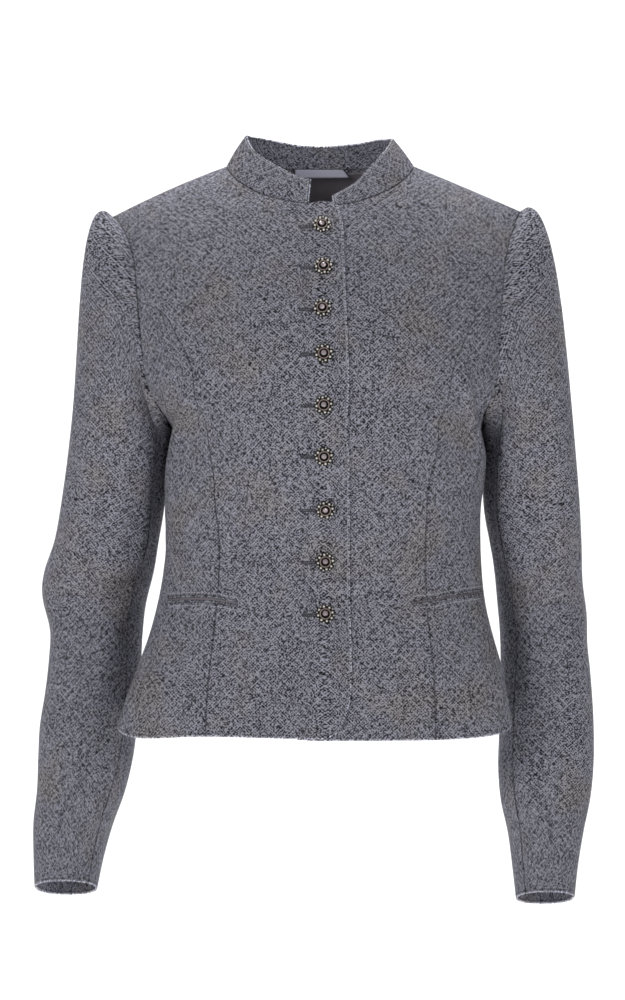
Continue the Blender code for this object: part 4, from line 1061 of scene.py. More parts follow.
def run(points, axis):
    """Length along the lines of a grid, from its first line."""
    chord = np.linalg.norm(np.diff(points, axis=axis), axis=-1)
    start = np.zeros_like(np.take(chord, [0], axis=axis))
    return np.concatenate([start, np.cumsum(chord, axis=axis)], axis=axis)


def rim_distances(points):
    """Distances of each grid point from its rims: a first column, b last column, c first row, d last row."""
    along = run(points, 1)
    down = run(points, 0)
    return {"a": along, "b": along[:, -1:] - along, "c": down, "d": down[-1:] - down}


def sample(table, rows, columns):
    """Bilinear reading of a table at fractional rows and columns."""
    low = np.clip(rows.astype(int), 0, table.shape[0] - 2)
    left = np.clip(columns.astype(int), 0, table.shape[1] - 2)
    a = rows - low
    b = columns - left
    top = table[low, left] * (1 - b) + table[low, left + 1] * b
    bottom = table[low + 1, left] * (1 - b) + table[low + 1, left + 1] * b
    return top * (1 - a) + bottom * a


def body_flat(w, v, z, behind):
    """Cloth coordinates of body points: length round the section from the middle, and up from the waist."""
    inner, outer = (1.0, 2.0) if behind else (-1.0, 1.0)
    sign = np.sign(w.mean()) if behind else 1.0
    shares = np.linspace(inner, outer, 49)
    steps = np.linspace(0, 2.4, 97)
    lattice = torso(sign * shares[None, :], steps[:, None], behind)
    down = run(lattice, 0)
    waist = np.array([np.interp(-WAIST_Z, -lattice[:, k, 2], down[:, k]) for k in range(len(shares))])
    share = sign * w if behind else w
    column = np.interp(share, shares, np.arange(len(shares)))
    up = sample(waist[None, :] - down, np.interp(v, steps, np.arange(len(steps))), column)
    heights = np.linspace(-0.56, 0.02, 59)
    x, side, reach = section(sign * shares[None, :], heights[:, None], behind)
    girth = run(np.stack([x, side + reach, 0 * x + heights[:, None]], axis=-1), 1)
    middle = 48 if behind else 24
    girth = girth - girth[:, middle : middle + 1]
    round_it = sample(girth, np.interp(z, heights, np.arange(len(heights))), column)
    return np.stack([round_it * sign, up], axis=-1)


def put_mesh(name, points, faces, flat=None, facts=(), finish=None):
    """Mesh object from whole arrays of points, faces, cloth coordinates and point attributes."""
    points = np.asarray(points, np.float32)
    faces = np.asarray(faces, np.int32)
    used, renumbered = np.unique(faces, return_inverse=True)
    points = points[used]
    faces = renumbered.reshape(faces.shape).astype(np.int32)
    mesh = bpy.data.meshes.new(name)
    mesh.vertices.add(len(points))
    mesh.vertices.foreach_set("co", points.ravel())
    mesh.loops.add(faces.size)
    mesh.loops.foreach_set("vertex_index", faces.ravel())
    mesh.polygons.add(len(faces))
    mesh.polygons.foreach_set("loop_start", np.arange(len(faces), dtype=np.int32) * faces.shape[1])
    mesh.update(calc_edges=True)
    mesh.polygons.foreach_set("use_smooth", np.ones(len(faces), bool))
    if flat is not None:
        layer = mesh.uv_layers.new(name="Cloth")
        layer.data.foreach_set("uv", np.asarray(flat, np.float32)[used][faces.ravel()].ravel())
    for label, values in dict(facts).items():
        data = mesh.attributes.new(label, "FLOAT", "POINT")
        data.data.foreach_set("value", np.asarray(values, np.float32)[used])
    if mesh.validate():
        raise ValueError(f"{name} has faces that Blender had to mend")
    if finish:
        mesh.materials.append(finish)
    item = bpy.data.objects.new(name, mesh)
    bpy.context.scene.collection.objects.link(item)
    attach(item, "root")
    return item


def grid_faces(rows, columns, closed=False):
    """Quads of a grid; closed joins the last column to the first."""
    index = np.arange(rows * columns).reshape(rows, columns)
    if closed:
        index = np.concatenate([index, index[:, :1]], axis=1)
    return np.stack([index[:-1, :-1], index[:-1, 1:], index[1:, 1:], index[1:, :-1]], axis=-1).reshape(-1, 4)


def volume(points, faces):
    """Signed volume of a closed mesh of quads or triangles."""
    corners = np.asarray(points)[np.asarray(faces)]
    total = 0.0
    for k in range(1, corners.shape[1] - 1):
        total += np.einsum("ij,ij->", corners[:, 0], np.cross(corners[:, k], corners[:, k + 1])) / 6
    return total


def shell(name, points, out, flat, finish, wall, roll, free="", stitched=None):
    """Closed cloth wall: both faces of a grid, which meet in a rim rounded like a quarter circle.

    At a distance e from the rim the outer face sinks by half the wall times
    1 - sqrt(1 - (1 - e / roll) squared). The attribute seam is the distance from the nearest sewn rim, edge
    that from the nearest free one, and channel that from the nearest line of topstitching.
    """
    reach = rim_distances(points)
    rim = np.min(list(reach.values()), axis=0)
    share = np.clip(rim / roll, 0, 1)
    sink = wall / 2 * (1 - np.sqrt(np.maximum(1 - (1 - share) ** 2, 0)))[..., None]
    outer = points - out * sink
    inner = points - out * (wall - sink)
    rows, columns = points.shape[:2]
    count = rows * columns
    front = grid_faces(rows, columns)
    on_rim = np.ones((rows, columns), bool)
    on_rim[1:-1, 1:-1] = False
    behind = np.where(on_rim.ravel(), np.arange(count), np.arange(count) + count)
    faces = np.concatenate([front, behind[front[:, ::-1]]])
    both = np.concatenate([outer.reshape(-1, 3), inner.reshape(-1, 3)])
    if volume(both, faces) < 0:
        faces = faces[:, ::-1]
    channel = np.full(rim.shape, 1.0)
    for side, inset in (stitched or {}).items():
        channel = np.minimum(channel, np.abs(reach[side] - inset))
    far = [np.full(rim.shape, 1.0)]
    seam = np.min(far + [reach[side] for side in "abcd" if side not in free], axis=0)
    edge = np.min(far + [reach[side] for side in free], axis=0)
    # The wool finish reads these: seam and channel for painted shade at sewn rims and in the topstitch
    # channel, edge for a painted highlight on free rims, and the mask of the inner face for painted light
    # that makes it paler
    facts = {
        "seam": np.tile(seam.ravel(), 2),
        "edge": np.tile(edge.ravel(), 2),
        "channel": np.tile(channel.ravel(), 2),
        "lining_side": np.repeat([0.0, 1.0], count),
    }
    return put_mesh(name, both, faces, np.tile(flat.reshape(-1, 2), (2, 1)), facts, finish)


def cloth_piece(name, points, out, flat, finish, slot, wall, roll, node=None, free="abcd", stitched=None):
    """Cloth wall; it may replace a node, which it hides. Cloth wall declared as a sheet by its cut or by
    the least size stated; it may replace a node. Its area from the cut, or from the least size, is worked
    out but not used.
    """
    item = shell(name, points, out, flat, finish, wall, roll, free, stitched)
    quads = points.reshape(-1, 3)[grid_faces(*points.shape[:2])]
    area = 0.5 * np.linalg.norm(np.cross(quads[:, 2] - quads[:, 0], quads[:, 3] - quads[:, 1]), axis=1).sum()
    size = np.maximum(np.ptp(flat.reshape(-1, 2), axis=0), SHEET_SIDE)
    if node:
        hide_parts(node)
    max(float(area), SHEET_SHARE * float(size.prod()))
    return item


def inset_line(points, out, side, inset, clear=""):
    """Line on a grid at a distance inside one rim, with its outward vectors; it stops short of clear rims."""
    reach = rim_distances(points)
    grids = [reach[side], points, out] + [reach[other] for other in clear]
    if side in "cd":
        grids = [np.swapaxes(grid, 0, 1) for grid in grids]
    line, ways = [], []
    for k in range(len(grids[0])):
        order = np.argsort(grids[0][k])
        away = grids[0][k][order]
        if all(np.interp(inset, away, grid[k][order]) >= inset for grid in grids[3:]):
            line.append([np.interp(inset, away, grids[1][k][order, axis]) for axis in range(3)])
            ways.append([np.interp(inset, away, grids[2][k][order, axis]) for axis in range(3)])
    return np.array(line), unit(np.array(ways))


def stitches(name, marks, radius, finish):
    """Short threads as one mesh: each mark is a start, an end and an outward vector, drawn as a tapered tube.

    The radius at share t of a thread is radius times (1 - (2 t - 1) ** 4) ** 0.5, and its middle stands out.
    """
    marks = np.asarray(marks, float)
    shares = np.array([0.02, 0.2, 0.5, 0.8, 0.98])
    sides = 6
    start, end, out = marks[:, 0], marks[:, 1], unit(marks[:, 2])
    along = unit(end - start)
    across_it = unit(np.cross(along, out))
    turns = np.linspace(0, 2 * math.pi, sides, endpoint=False)
    wide = radius * np.sqrt(1 - (2 * shares - 1) ** 4)
    arch = radius * 0.9 * np.sin(math.pi * shares)
    straight = start[:, None] + (end - start)[:, None] * shares[None, :, None]
    centre = straight + out[:, None] * arch[None, :, None]
    spoke = np.cos(turns)[None, :, None] * out[:, None] + np.sin(turns)[None, :, None] * across_it[:, None]
    rings = centre[:, :, None] + spoke[:, None] * wide[None, :, None, None]
    per = len(shares) * sides
    points = np.concatenate([rings.reshape(len(marks), per, 3), start[:, None], end[:, None]], axis=1)
    faces = []
    for k in range(sides):
        j = (k + 1) % sides
        faces += [(per, j, k), (per + 1, per - sides + k, per - sides + j)]
        for level in range(len(shares) - 1):
            low, high = level * sides, (level + 1) * sides
            faces += [(low + k, low + j, high + j), (low + k, high + j, high + k)]
    faces = np.array(faces)
    if volume(points[0], faces) < 0:
        faces = faces[:, ::-1]
    whole = faces[None] + (np.arange(len(marks)) * (per + 2))[:, None, None]
    return put_mesh(name, points.reshape(-1, 3), whole.reshape(-1, 3), finish=finish)


def topstitch(line, out, length, gap=0.22):
    """Marks of even stitches along a line on the cloth, each a share of its length short of the next."""
    along = run(line, 0)
    count = max(int(along[-1] / length), 1)

    def at(place, rows):
        return np.array([np.interp(place, along, rows[:, axis]) for axis in range(3)])

    marks = []
    for low in np.arange(count) * along[-1] / count:
        high = low + along[-1] / count * (1 - gap)
        marks.append((at(low, line), at(high, line), at(low, out)))
    return marks


def add(tree, kind, inputs=(), **settings):
    """Adds a node: settings are its properties, inputs its sockets by name or in order."""
    item = tree.nodes.new(kind)
    for key, value in settings.items():
        setattr(item, key, value)
    for key, value in inputs.items() if isinstance(inputs, dict) else enumerate(inputs):
        if isinstance(value, bpy.types.Node):
            value = value.outputs[0]
        if isinstance(value, bpy.types.NodeSocket):
            tree.links.new(value, item.inputs[key])
        else:
            item.inputs[key].default_value = value
    return item


def new_finish(name, **sockets):
    """Material with a Principled shader, its even values set on the shader's own sockets."""
    finish = bpy.data.materials.new(name)
    finish.use_nodes = True
    shader = finish.node_tree.nodes["Principled BSDF"]
    for key, value in sockets.items():
        shader.inputs[key.replace("_", " ")].default_value = value
    return finish, finish.node_tree, shader


def wool_jersey():
    """Melange wool jersey, knitted with a small diamond in ribs, its nap slightly raised.

    To the eye it is a matt grey-blue made of light and dark flecks. With f the sum of two triangle waves as
    wide as one diamond, pale lines stand where f is a half, and ribs run beside them as the cosine of 6 pi f.
    The nap is paler where it is seen edge on. Sewn seams are darkened as painted shade, turned free edges are
    made paler as a painted highlight, and the inner face of the cloth is made paler as painted light. A
    topstitched edge has a channel, which dips in the bump and is darkened as painted shade.
    """
    colours = bpy.context.scene.jacket_colours
    sizes = bpy.context.scene.jacket_sizes
    finish, tree, shader = new_finish(
        "wool_jersey_melange", Roughness=0.92, Sheen_Weight=0.08, Sheen_Roughness=0.45, IOR=1.45
    )
    shader.inputs["Specular IOR Level"].default_value = 0.25
    shader.inputs["Sheen Tint"].default_value = colours.fuzz

    cloth = add(tree, "ShaderNodeUVMap", uv_map="Cloth").outputs[0]
    # Noise of 2.4 mm bends the ribs, noise of 14 mm lets them fade, and noise of 60 mm clouds the tone
    bend = add(tree, "ShaderNodeTexNoise", {"Vector": cloth, "Scale": 420.0, "Detail": 1.0}).outputs[0]
    fade = add(tree, "ShaderNodeTexNoise", {"Vector": cloth, "Scale": 75.0, "Detail": 1.0}).outputs[0]
    cloud = add(tree, "ShaderNodeTexNoise", {"Vector": cloth, "Scale": 16.0, "Detail": 2.0}).outputs[0]
    # Flecks as wide as a knitted loop, drawn as cells of random tone
    cells = add(tree, "ShaderNodeTexVoronoi", {"Vector": cloth, "Scale": 1 / sizes.fleck}, feature="F1")
    tone = add(tree, "ShaderNodeSeparateColor", {0: cells.outputs["Color"]}).outputs[0]
    axes = add(tree, "ShaderNodeSeparateXYZ", {0: cloth})
    shares = [add(tree, MATHS, (axes.outputs[k], 1 / sizes.motif), operation="MULTIPLY") for k in (0, 1)]
    waves = [add(tree, MATHS, (place, 0.5), operation="PINGPONG") for place in shares]
    diamond = add(tree, MATHS, waves, operation="ADD")
    soft = add(tree, MATHS, (bend, 0.5), operation="SUBTRACT")
    bent = add(tree, MATHS, (soft, 0.34, diamond), operation="MULTIPLY_ADD")
    rib_turn = add(tree, MATHS, (bent, 6 * math.pi), operation="MULTIPLY")
    ribs = add(tree, MATHS, (rib_turn,), operation="COSINE")
    line_turn = add(tree, MATHS, (bent, 2 * math.pi), operation="MULTIPLY")
    lines = add(tree, MATHS, (line_turn,), operation="COSINE")
    # Rows of loops slant both ways
    turn = math.sqrt(2) * math.pi / sizes.dash
    dashes = []
    for operation, push in (("ADD", 11.0), ("SUBTRACT", -11.0)):
        slant = add(tree, MATHS, (axes.outputs[0], axes.outputs[1]), operation=operation)
        slant = add(tree, MATHS, (slant, turn), operation="MULTIPLY")
        slant = add(tree, MATHS, (soft, push, slant), operation="MULTIPLY_ADD")
        dashes.append(add(tree, MATHS, (slant,), operation="COSINE"))
    strength = add(
        tree,
        "ShaderNodeMapRange",
        {"Value": fade, "From Min": 0.38, "From Max": 0.62, "To Min": -0.24, "To Max": -0.60},
    ).outputs[0]
    pattern = add(tree, MATHS, (lines, 0.55, ribs), operation="MULTIPLY_ADD")
    pattern = add(tree, MATHS, (pattern, strength), operation="MULTIPLY")
    for slant in dashes:
        pattern = add(tree, MATHS, (slant, 0.42, pattern), operation="MULTIPLY_ADD")
    for part, amount in ((tone, 1.5), (cloud, 0.3)):
        centred = add(tree, MATHS, (part, 0.5), operation="SUBTRACT")
        pattern = add(tree, MATHS, (centred, amount, pattern), operation="MULTIPLY_ADD")
    share = add(tree, MATHS, (pattern, 0.42), operation="ADD", use_clamp=True)
    # Here and there the pale yarn is warmer
    warm = add(
        tree,
        "ShaderNodeMapRange",
        {"Value": cloud, "From Min": 0.50, "From Max": 0.66, "To Min": 0.0, "To Max": 0.6},
    ).outputs[0]
    both = {0: warm, 6: colours.light_yarn, 7: colours.warm_yarn}
    pale = add(tree, "ShaderNodeMix", both, data_type="RGBA")
    yarns = add(tree, "ShaderNodeMix", {0: share, 6: colours.dark_yarn, 7: pale.outputs[2]}, data_type="RGBA")
    # Painted shade: within 1.6 mm of a sewn rim the cloth darkens to 0.42 of its tone
    seam = add(tree, "ShaderNodeAttribute", attribute_name="seam").outputs["Fac"]
    near = add(
        tree,
        "ShaderNodeMapRange",
        {"Value": seam, "From Min": 0.0, "From Max": 0.0016, "To Min": 0.42, "To Max": 1.0},
        interpolation_type="SMOOTHSTEP",
    ).outputs[0]
    # Topstitch channel: its mask dips the bump, and also darkens the colour by up to 0.45 as painted shade
    channel = add(tree, "ShaderNodeAttribute", attribute_name="channel").outputs["Fac"]
    channel_dip_and_shade = add(
        tree,
        "ShaderNodeMapRange",
        {"Value": channel, "From Min": 0.0, "From Max": 0.0010, "To Min": 1.0, "To Max": 0.0},
        interpolation_type="SMOOTHSTEP",
    ).outputs[0]
    # Painted highlight: a free turned edge is up to twice as pale, fading out 1.6 mm from its rim
    edge = add(tree, "ShaderNodeAttribute", attribute_name="edge").outputs["Fac"]
    turned = add(
        tree,
        "ShaderNodeMapRange",
        {"Value": edge, "From Min": 0.0008, "From Max": 0.0016, "To Min": 2.0, "To Max": 1.0},
        interpolation_type="SMOOTHSTEP",
    ).outputs[0]
    inside = add(tree, "ShaderNodeAttribute", attribute_name="lining_side").outputs["Fac"]
    sewn = add(tree, MATHS, (channel_dip_and_shade, -0.45, near), operation="MULTIPLY_ADD")
    sewn = add(tree, MATHS, (sewn, turned), operation="MULTIPLY")
    # Painted light: the inner face of each piece is made 1.45 times paler than the outer face
    back = add(tree, MATHS, (inside, 0.45, 1.0), operation="MULTIPLY_ADD")
    shade = add(tree, MATHS, (sewn, back), operation="MULTIPLY")
    shaded = add(tree, "ShaderNodeVectorMath", {0: yarns.outputs[2], 3: shade}, operation="SCALE")
    tree.links.new(shaded.outputs[0], shader.inputs["Base Color"])
    half = add(tree, MATHS, (share, 0.5), operation="MULTIPLY")
    cut = add(tree, MATHS, (channel_dip_and_shade, -0.9, half), operation="MULTIPLY_ADD")
    bump = add(tree, "ShaderNodeBump", {"Height": cut, "Distance": 0.0006, "Strength": 0.8})
    tree.links.new(bump.outputs[0], shader.inputs["Normal"])
    return finish


def uneven(tree, shader, share, tint, low):
    """Base colour that wanders between a low share of the tint and the whole of it."""
    dim = add(tree, "ShaderNodeVectorMath", {0: tint[:3], 3: low}, operation="SCALE")
    mix = add(tree, "ShaderNodeMix", {0: share, 6: dim.outputs[0], 7: tint}, data_type="RGBA")
    tree.links.new(mix.outputs[2], shader.inputs["Base Color"])


def satin_ribbon():
    """Satin ribbon: floats of thread along its length give long soft highlights."""
    colours = bpy.context.scene.jacket_colours
    finish, tree, shader = new_finish("polyester_satin", Roughness=0.34, Sheen_Weight=0.15)
    cloth = add(tree, "ShaderNodeUVMap", uv_map="Cloth").outputs[0]
    # Threads 0.25 mm wide, stretched along the ribbon
    stretch = add(tree, "ShaderNodeMapping", {"Vector": cloth, "Scale": (400.0, 4000.0, 1.0)})
    threads = add(tree, "ShaderNodeTexNoise", {"Vector": stretch.outputs[0], "Scale": 1.0, "Detail": 1.0})
    uneven(tree, shader, threads.outputs[0], colours.ribbon, 0.75)
    bump = add(tree, "ShaderNodeBump", {"Height": threads.outputs[0], "Distance": 0.0001, "Strength": 0.4})
    tree.links.new(bump.outputs[0], shader.inputs["Normal"])
    return finish


def viscose_lining():
    """Twill-woven viscose lining: dark, smooth, with fine slanting ribs 0.6 mm apart."""
    colours = bpy.context.scene.jacket_colours
    finish, tree, shader = new_finish("viscose_twill_lining", Roughness=0.5, Sheen_Weight=0.1)
    cloth = add(tree, "ShaderNodeUVMap", uv_map="Cloth").outputs[0]
    twill = add(
        tree,
        "ShaderNodeTexWave",
        {"Vector": cloth, "Scale": 1 / 0.0012, "Distortion": 0.6},
        wave_type="BANDS",
        bands_direction="DIAGONAL",
    )
    uneven(tree, shader, twill.outputs[1], colours.lining, 0.6)
    bump = add(tree, "ShaderNodeBump", {"Height": twill.outputs[1], "Distance": 0.0001, "Strength": 0.3})
    tree.links.new(bump.outputs[0], shader.inputs["Normal"])
    return finish


def sewing_thread(name, tint):
    """Spun polyester sewing thread: matt, with a slight uneven tone."""
    finish, tree, shader = new_finish(name, Roughness=0.7, Sheen_Weight=0.2)
    place = add(tree, "ShaderNodeTexCoord").outputs["Object"]
    noise = add(tree, "ShaderNodeTexNoise", {"Vector": place, "Scale": 1500.0, "Detail": 1.0})
    uneven(tree, shader, noise.outputs[0], tint, 0.6)
    return finish


def cast_metal(name, tint, roughness, dirt):
    """Cast and antiqued brass under a pale plated coat, with dull dark grains where the polish didn't reach.

    The coat scatters most of the light, so the shader is only slightly metallic.
    """
    colours = bpy.context.scene.jacket_colours
    finish, tree, shader = new_finish(name, Metallic=0.15)
    place = add(tree, "ShaderNodeTexCoord").outputs["Object"]
    # Pits about 0.4 mm wide
    pits = add(tree, "ShaderNodeTexNoise", {"Vector": place, "Scale": 2500.0, "Detail": 2.0})
    share = add(
        tree,
        "ShaderNodeMapRange",
        {"Value": pits.outputs[0], "From Min": 0.5, "From Max": 0.75, "To Min": 0.0, "To Max": dirt},
    )
    mix = add(tree, "ShaderNodeMix", {0: share.outputs[0], 6: tint, 7: colours.recess}, data_type="RGBA")
    tree.links.new(mix.outputs[2], shader.inputs["Base Color"])
    gloss = add(
        tree,
        "ShaderNodeMapRange",
        {
            "Value": pits.outputs[0],
            "From Min": 0.3,
            "From Max": 0.8,
            "To Min": roughness,
            "To Max": roughness + 0.3,
        },
    )
    tree.links.new(gloss.outputs[0], shader.inputs["Roughness"])
    bump = add(tree, "ShaderNodeBump", {"Height": pits.outputs[0], "Distance": 0.0001, "Strength": 0.5})
    tree.links.new(bump.outputs[0], shader.inputs["Normal"])
    return finish


def foiled_crystal():
    """Cut lead glass on a foil: clear bright facets with a pale rose cast and a few cloudy spots."""
    colours = bpy.context.scene.jacket_colours
    finish, tree, shader = new_finish(
        "foiled_lead_glass", Roughness=0.06, Metallic=0.35, IOR=1.55, Coat_Weight=1.0
    )
    place = add(tree, "ShaderNodeTexCoord").outputs["Object"]
    spots = add(tree, "ShaderNodeTexNoise", {"Vector": place, "Scale": 700.0, "Detail": 1.0})
    uneven(tree, shader, spots.outputs[0], colours.crystal, 0.5)
    return finish


def painted_floor():
    """Matt painted studio board: even and pale, with a trace of roller texture."""
    colours = bpy.context.scene.jacket_colours
    finish, tree, shader = new_finish("matt_painted_board", Roughness=0.9)
    place = add(tree, "ShaderNodeTexCoord").outputs["Object"]
    roller = add(tree, "ShaderNodeTexNoise", {"Vector": place, "Scale": 60.0, "Detail": 2.0})
    uneven(tree, shader, roller.outputs[0], colours.floor, 0.99)
    return finish


def finish_named(name, make, *values):
    """Finish that several operators share, made once."""
    return bpy.data.materials.get(name) or make(*values)


def panel_cloth(grid, behind, split, cut_rows=(), cut_columns=(), lap=0.0):
    """Points, outward vectors and cloth coordinates of a body panel, from its coarse grid."""
    rows = stops(grid.shape[0] - 1, split[0], 0.50)
    columns = stops(grid.shape[1] - 1, split[1], 0.15)
    fine = finer(grid, rows, columns, cut_rows, cut_columns)
    w, v = fine[..., 0], np.maximum(fine[..., 1], 0)
    points, out = cloth(w, v, behind, lap)
    return points, out, body_flat(w, v, points[..., 2], behind)


def front_cloth(side):
    """Fine cloth of one front."""
    lap = LAP_SHIFT if side == "right" else -LAP_SHIFT
    return panel_cloth(front_grid(side), False, (9, 5), (N_ARM_HIGH,), (N_FREE, N_FREE + N_NECK_FRONT), lap)


def collar_cloth():
    """Fine cloth of the stand collar: a slight bow outward, with soft dents where it bends round the neck."""
    coarse = collar_grid()
    rows = stops(3, 5, 0.033)
    points = finer(coarse, rows, stops(coarse.shape[1] - 1, 6, 0.47))
    out = unit(np.cross(np.gradient(points, axis=0), np.gradient(points, axis=1)))
    if np.sum(out * points * np.array([1.0, 1.0, 0.0])) < 0:
        out = -out
    up, along = run(points, 0), run(points, 1)
    share = along / along[:, -1:]
    rise = COLLAR_BOW * np.sin(math.pi * rows / 3)[:, None] + 0 * along
    for place, width, depth in COLLAR_DENTS:
        rise += depth * np.exp(-(((share - place) / width) ** 2)) * (rows / 3)[:, None]
    flat = np.stack([0 * along + along.mean(axis=0), up], axis=-1)
    return points + out * rise[..., None], out, flat


class JACKET_OT_body(bpy.types.Operator):
    """Build the six panels of the body as fine cloth."""

    bl_idname = "jacket.body"
    bl_label = "Body panels"

    def execute(self, context):
        sizes = context.scene.jacket_sizes
        finish = finish_named("wool_jersey_melange", wool_jersey)
        hem = {"d": HEM_TURN}
        for side in ("right", "left"):
            edge = {"a": sizes.inset, "d": HEM_TURN} if side == "right" else hem
            back = panel_cloth(back_grid(side), True, (8, 6), (N_ARM_BACK,), (N_NECK_BACK,))
            # The second item of each entry names the free rims, which the wool finish makes paler as a
            # painted highlight; the other rims are darkened as painted seam shade
            made = {
                f"front_{side}": (front_cloth(side), "ad", edge),
                f"side_front_{side}": (panel_cloth(side_front_grid(side), False, (10, 6)), "d", hem),
                f"back_{side}": (back, "d", hem),
            }
            for node, (cut, free, stitched) in made.items():
                cloth_piece(
                    f"{node}_cloth", *cut, finish, "wool", sizes.thickness, sizes.seam_round,
                    node, free, stitched,
                )
        return {"FINISHED"}


class JACKET_OT_sleeves(bpy.types.Operator):
    """Build the top and under piece of both sleeves as fine cloth."""

    bl_idname = "jacket.sleeves"
    bl_label = "Sleeves"

    def execute(self, context):
        sizes = context.scene.jacket_sizes
        finish = finish_named("wool_jersey_melange", wool_jersey)
        for side in ("right", "left"):
            grid, angle = sleeve_grid(side)
            front = int(np.argmin(np.abs(angle - FRONT_SEAM_ANGLE)))
            back = int(np.argmin(np.abs(angle - BACK_SEAM_ANGLE)))
            count = len(angle) - 1
            order = np.arange(back - count, back + 1) % count
            turned = angle[order] - np.where(np.arange(count + 1) < count - back, 360, 0)
            seam = count - back + front
            rows = stops(len(grid) - 1, 8, 0.45)
            for name, low, high in (("top", 0, seam), ("under", seam, count)):
                columns = low + stops(high - low, 6, 0.0055 * (high - low))
                wide = np.moveaxis(refine(np.moveaxis(grid[:, order], 1, 0), columns, (seam,)), 0, 1)
                points = refine(wide, rows, ())
                turns = np.interp(columns, np.arange(count + 1), turned)
                out = self.outward(points, side)
                points = points + out * crease_rise(points, turns, side)[..., None]
                along, down = run(points, 1), run(points, 0)
                flat = np.stack([0 * along + along[len(along) // 3], down[-1:] - down], axis=-1)
                node = f"sleeve_{side}_{name}"
                cloth_piece(
                    f"{node}_cloth", points, out, flat, finish, "wool", sizes.thickness, sizes.seam_round,
                    node, "d", {"d": HEM_TURN},
                )
        return {"FINISHED"}

    def outward(self, points, side):
        """Outward vectors of part of a sleeve's ring."""
        out = unit(np.cross(np.gradient(points, axis=0), np.gradient(points, axis=1)))
        centre = np.array([-0.21 if side == "right" else 0.21, 0.02, 0.0])
        away = (points - centre) * np.array([1.0, 1.0, 0.0])
        return -out if np.sum(out[20:] * away[20:]) < 0 else out


class JACKET_OT_collar(bpy.types.Operator):
    """Build the stand collar with its rolled edge."""

    bl_idname = "jacket.collar"
    bl_label = "Collar"

    def execute(self, context):
        inset = context.scene.jacket_sizes.inset
        finish = finish_named("wool_jersey_melange", wool_jersey)
        cloth_piece(
            "collar_cloth", *collar_cloth(), finish, "wool", COLLAR_WALL, COLLAR_ROLL,
            "collar", "abd", dict.fromkeys("abd", inset - COLLAR_STITCH_SHIFT),
        )
        return {"FINISHED"}


def slit_strip(side, low, high, lift):
    """Points, outward vectors and cloth coordinates of a strip along a pocket slit, low to high."""
    table = SLIT_RIGHT if side == "right" else SLIT_LEFT
    xs = np.array([row[0] for row in table])
    middle_x = np.linspace(xs[0], xs[-1], 49)
    line = smooth(xs, np.array([row[1] for row in table]), middle_x)
    share = np.linspace(0, 1, 49)
    # The upper lip of the slit bows up in the middle, where the pocket gapes
    gape = SLIT_GAPE[side] * np.sin(math.pi * share) ** 0.8
    heights = np.linspace(low, high, 9)
    z = line[None, :] + heights[:, None] + np.where(heights[:, None] > 0, gape[None, :], 0)
    x = np.broadcast_to(middle_x, z.shape)
    w, v = locate(x, z, False)
    points, out = cloth(w, v, False)
    return points + out * lift, out, body_flat(w, v, points[..., 2], False)


class JACKET_OT_pockets(bpy.types.Operator):
    """Build the welts of both pockets and, between them, a dark strip of lining that stands in for the shade
    in the slit as painted shade.
    """

    bl_idname = "jacket.pockets"
    bl_label = "Pocket welts"

    def execute(self, context):
        wool = finish_named("wool_jersey_melange", wool_jersey)
        dark = finish_named("viscose_twill_lining", viscose_lining)
        for side in ("right", "left"):
            # free is empty: every rim of a welt counts as sewn, so the wool finish darkens the narrow welts
            # nearly all across with painted seam shade
            for name, low, high in (("upper", SLIT_HALF, WELT_HEIGHT), ("lower", -WELT_HEIGHT, -SLIT_HALF)):
                node = f"welt_{side}_{name}"
                strip = slit_strip(side, low, high, WELT_CLOTH)
                cloth_piece(f"{node}_cloth", *strip, wool, "wool", WELT_CLOTH, WELT_ROLL, node, "")
            # Painted shade: a dark lining strip in the slit stands for the shadow between the welts
            mouth = slit_strip(side, -MOUTH_HALF, MOUTH_HALF, MOUTH_WALL)
            cloth_piece(f"pocket_{side}_mouth", *mouth, dark, "lining", MOUTH_WALL, MOUTH_WALL / 2)
        return {"FINISHED"}


class JACKET_OT_neck_inside(bpy.types.Operator):
    """Build the lining and the satin hanger loop seen in the neck opening."""

    bl_idname = "jacket.neck_inside"
    bl_label = "Lining and loop"

    def execute(self, context):
        lining = finish_named("viscose_twill_lining", viscose_lining)
        satin = finish_named("polyester_satin", satin_ribbon)
        depth = WALL + GAP
        halves = []
        for side in ("right", "left"):
            grid = back_grid(side)[: LINING_ROWS + 1, : N_NECK_BACK + 1]
            fine = finer(grid, np.linspace(LINING_DROP, LINING_ROWS, 41), np.linspace(0, N_NECK_BACK, 31))
            w, v = fine[..., 0], np.maximum(fine[..., 1], 0)
            points, out = cloth(w, v, True)
            halves.append((points - out * depth, out, body_flat(w, v, points[..., 2], True)))
        joined = [np.concatenate([right[:, :0:-1], left], axis=1) for right, left in zip(*halves)]
        cloth_piece("lining_back_cloth", *joined, lining, "lining", LINING_WALL, 0.0005, node="lining_back")
        # Ribbon across the back of the neck, its far end folded to a slant
        points, out, _ = collar_cloth()
        foot = points[0] - out[0] * COLLAR_WALL
        foot = foot[foot[:, 1] > 0]
        foot = foot[np.argsort(foot[:, 0])]
        share = np.linspace(0, 1, 41)[None, :]
        z = np.linspace(LOOP_TOP, LOOP_BOTTOM, 9)[:, None] + 0 * share
        end = LOOP_HALF + 0.8 * (LOOP_TOP - z) - 0.002
        x = -LOOP_HALF + (end + LOOP_HALF) * share
        wave = 0.0004 * np.sin(share * 9.0) * (z - LOOP_BOTTOM) / 0.008
        bow = 0.0012 * np.cos((share - 0.5) * math.pi) + wave
        y = np.interp(x, foot[:, 0], foot[:, 1]) - GAP * 3 - bow
        ribbon = np.stack([x, y, z], axis=-1)
        way = np.broadcast_to(np.array([0.0, -1.0, 0.0]), ribbon.shape)
        flat = np.stack([x, z], axis=-1)
        cloth_piece(
            "hanger_loop_ribbon", ribbon, way, flat, satin, "satin", LOOP_WALL, LOOP_WALL / 2,
            node="hanger_loop",
        )
        return {"FINISHED"}


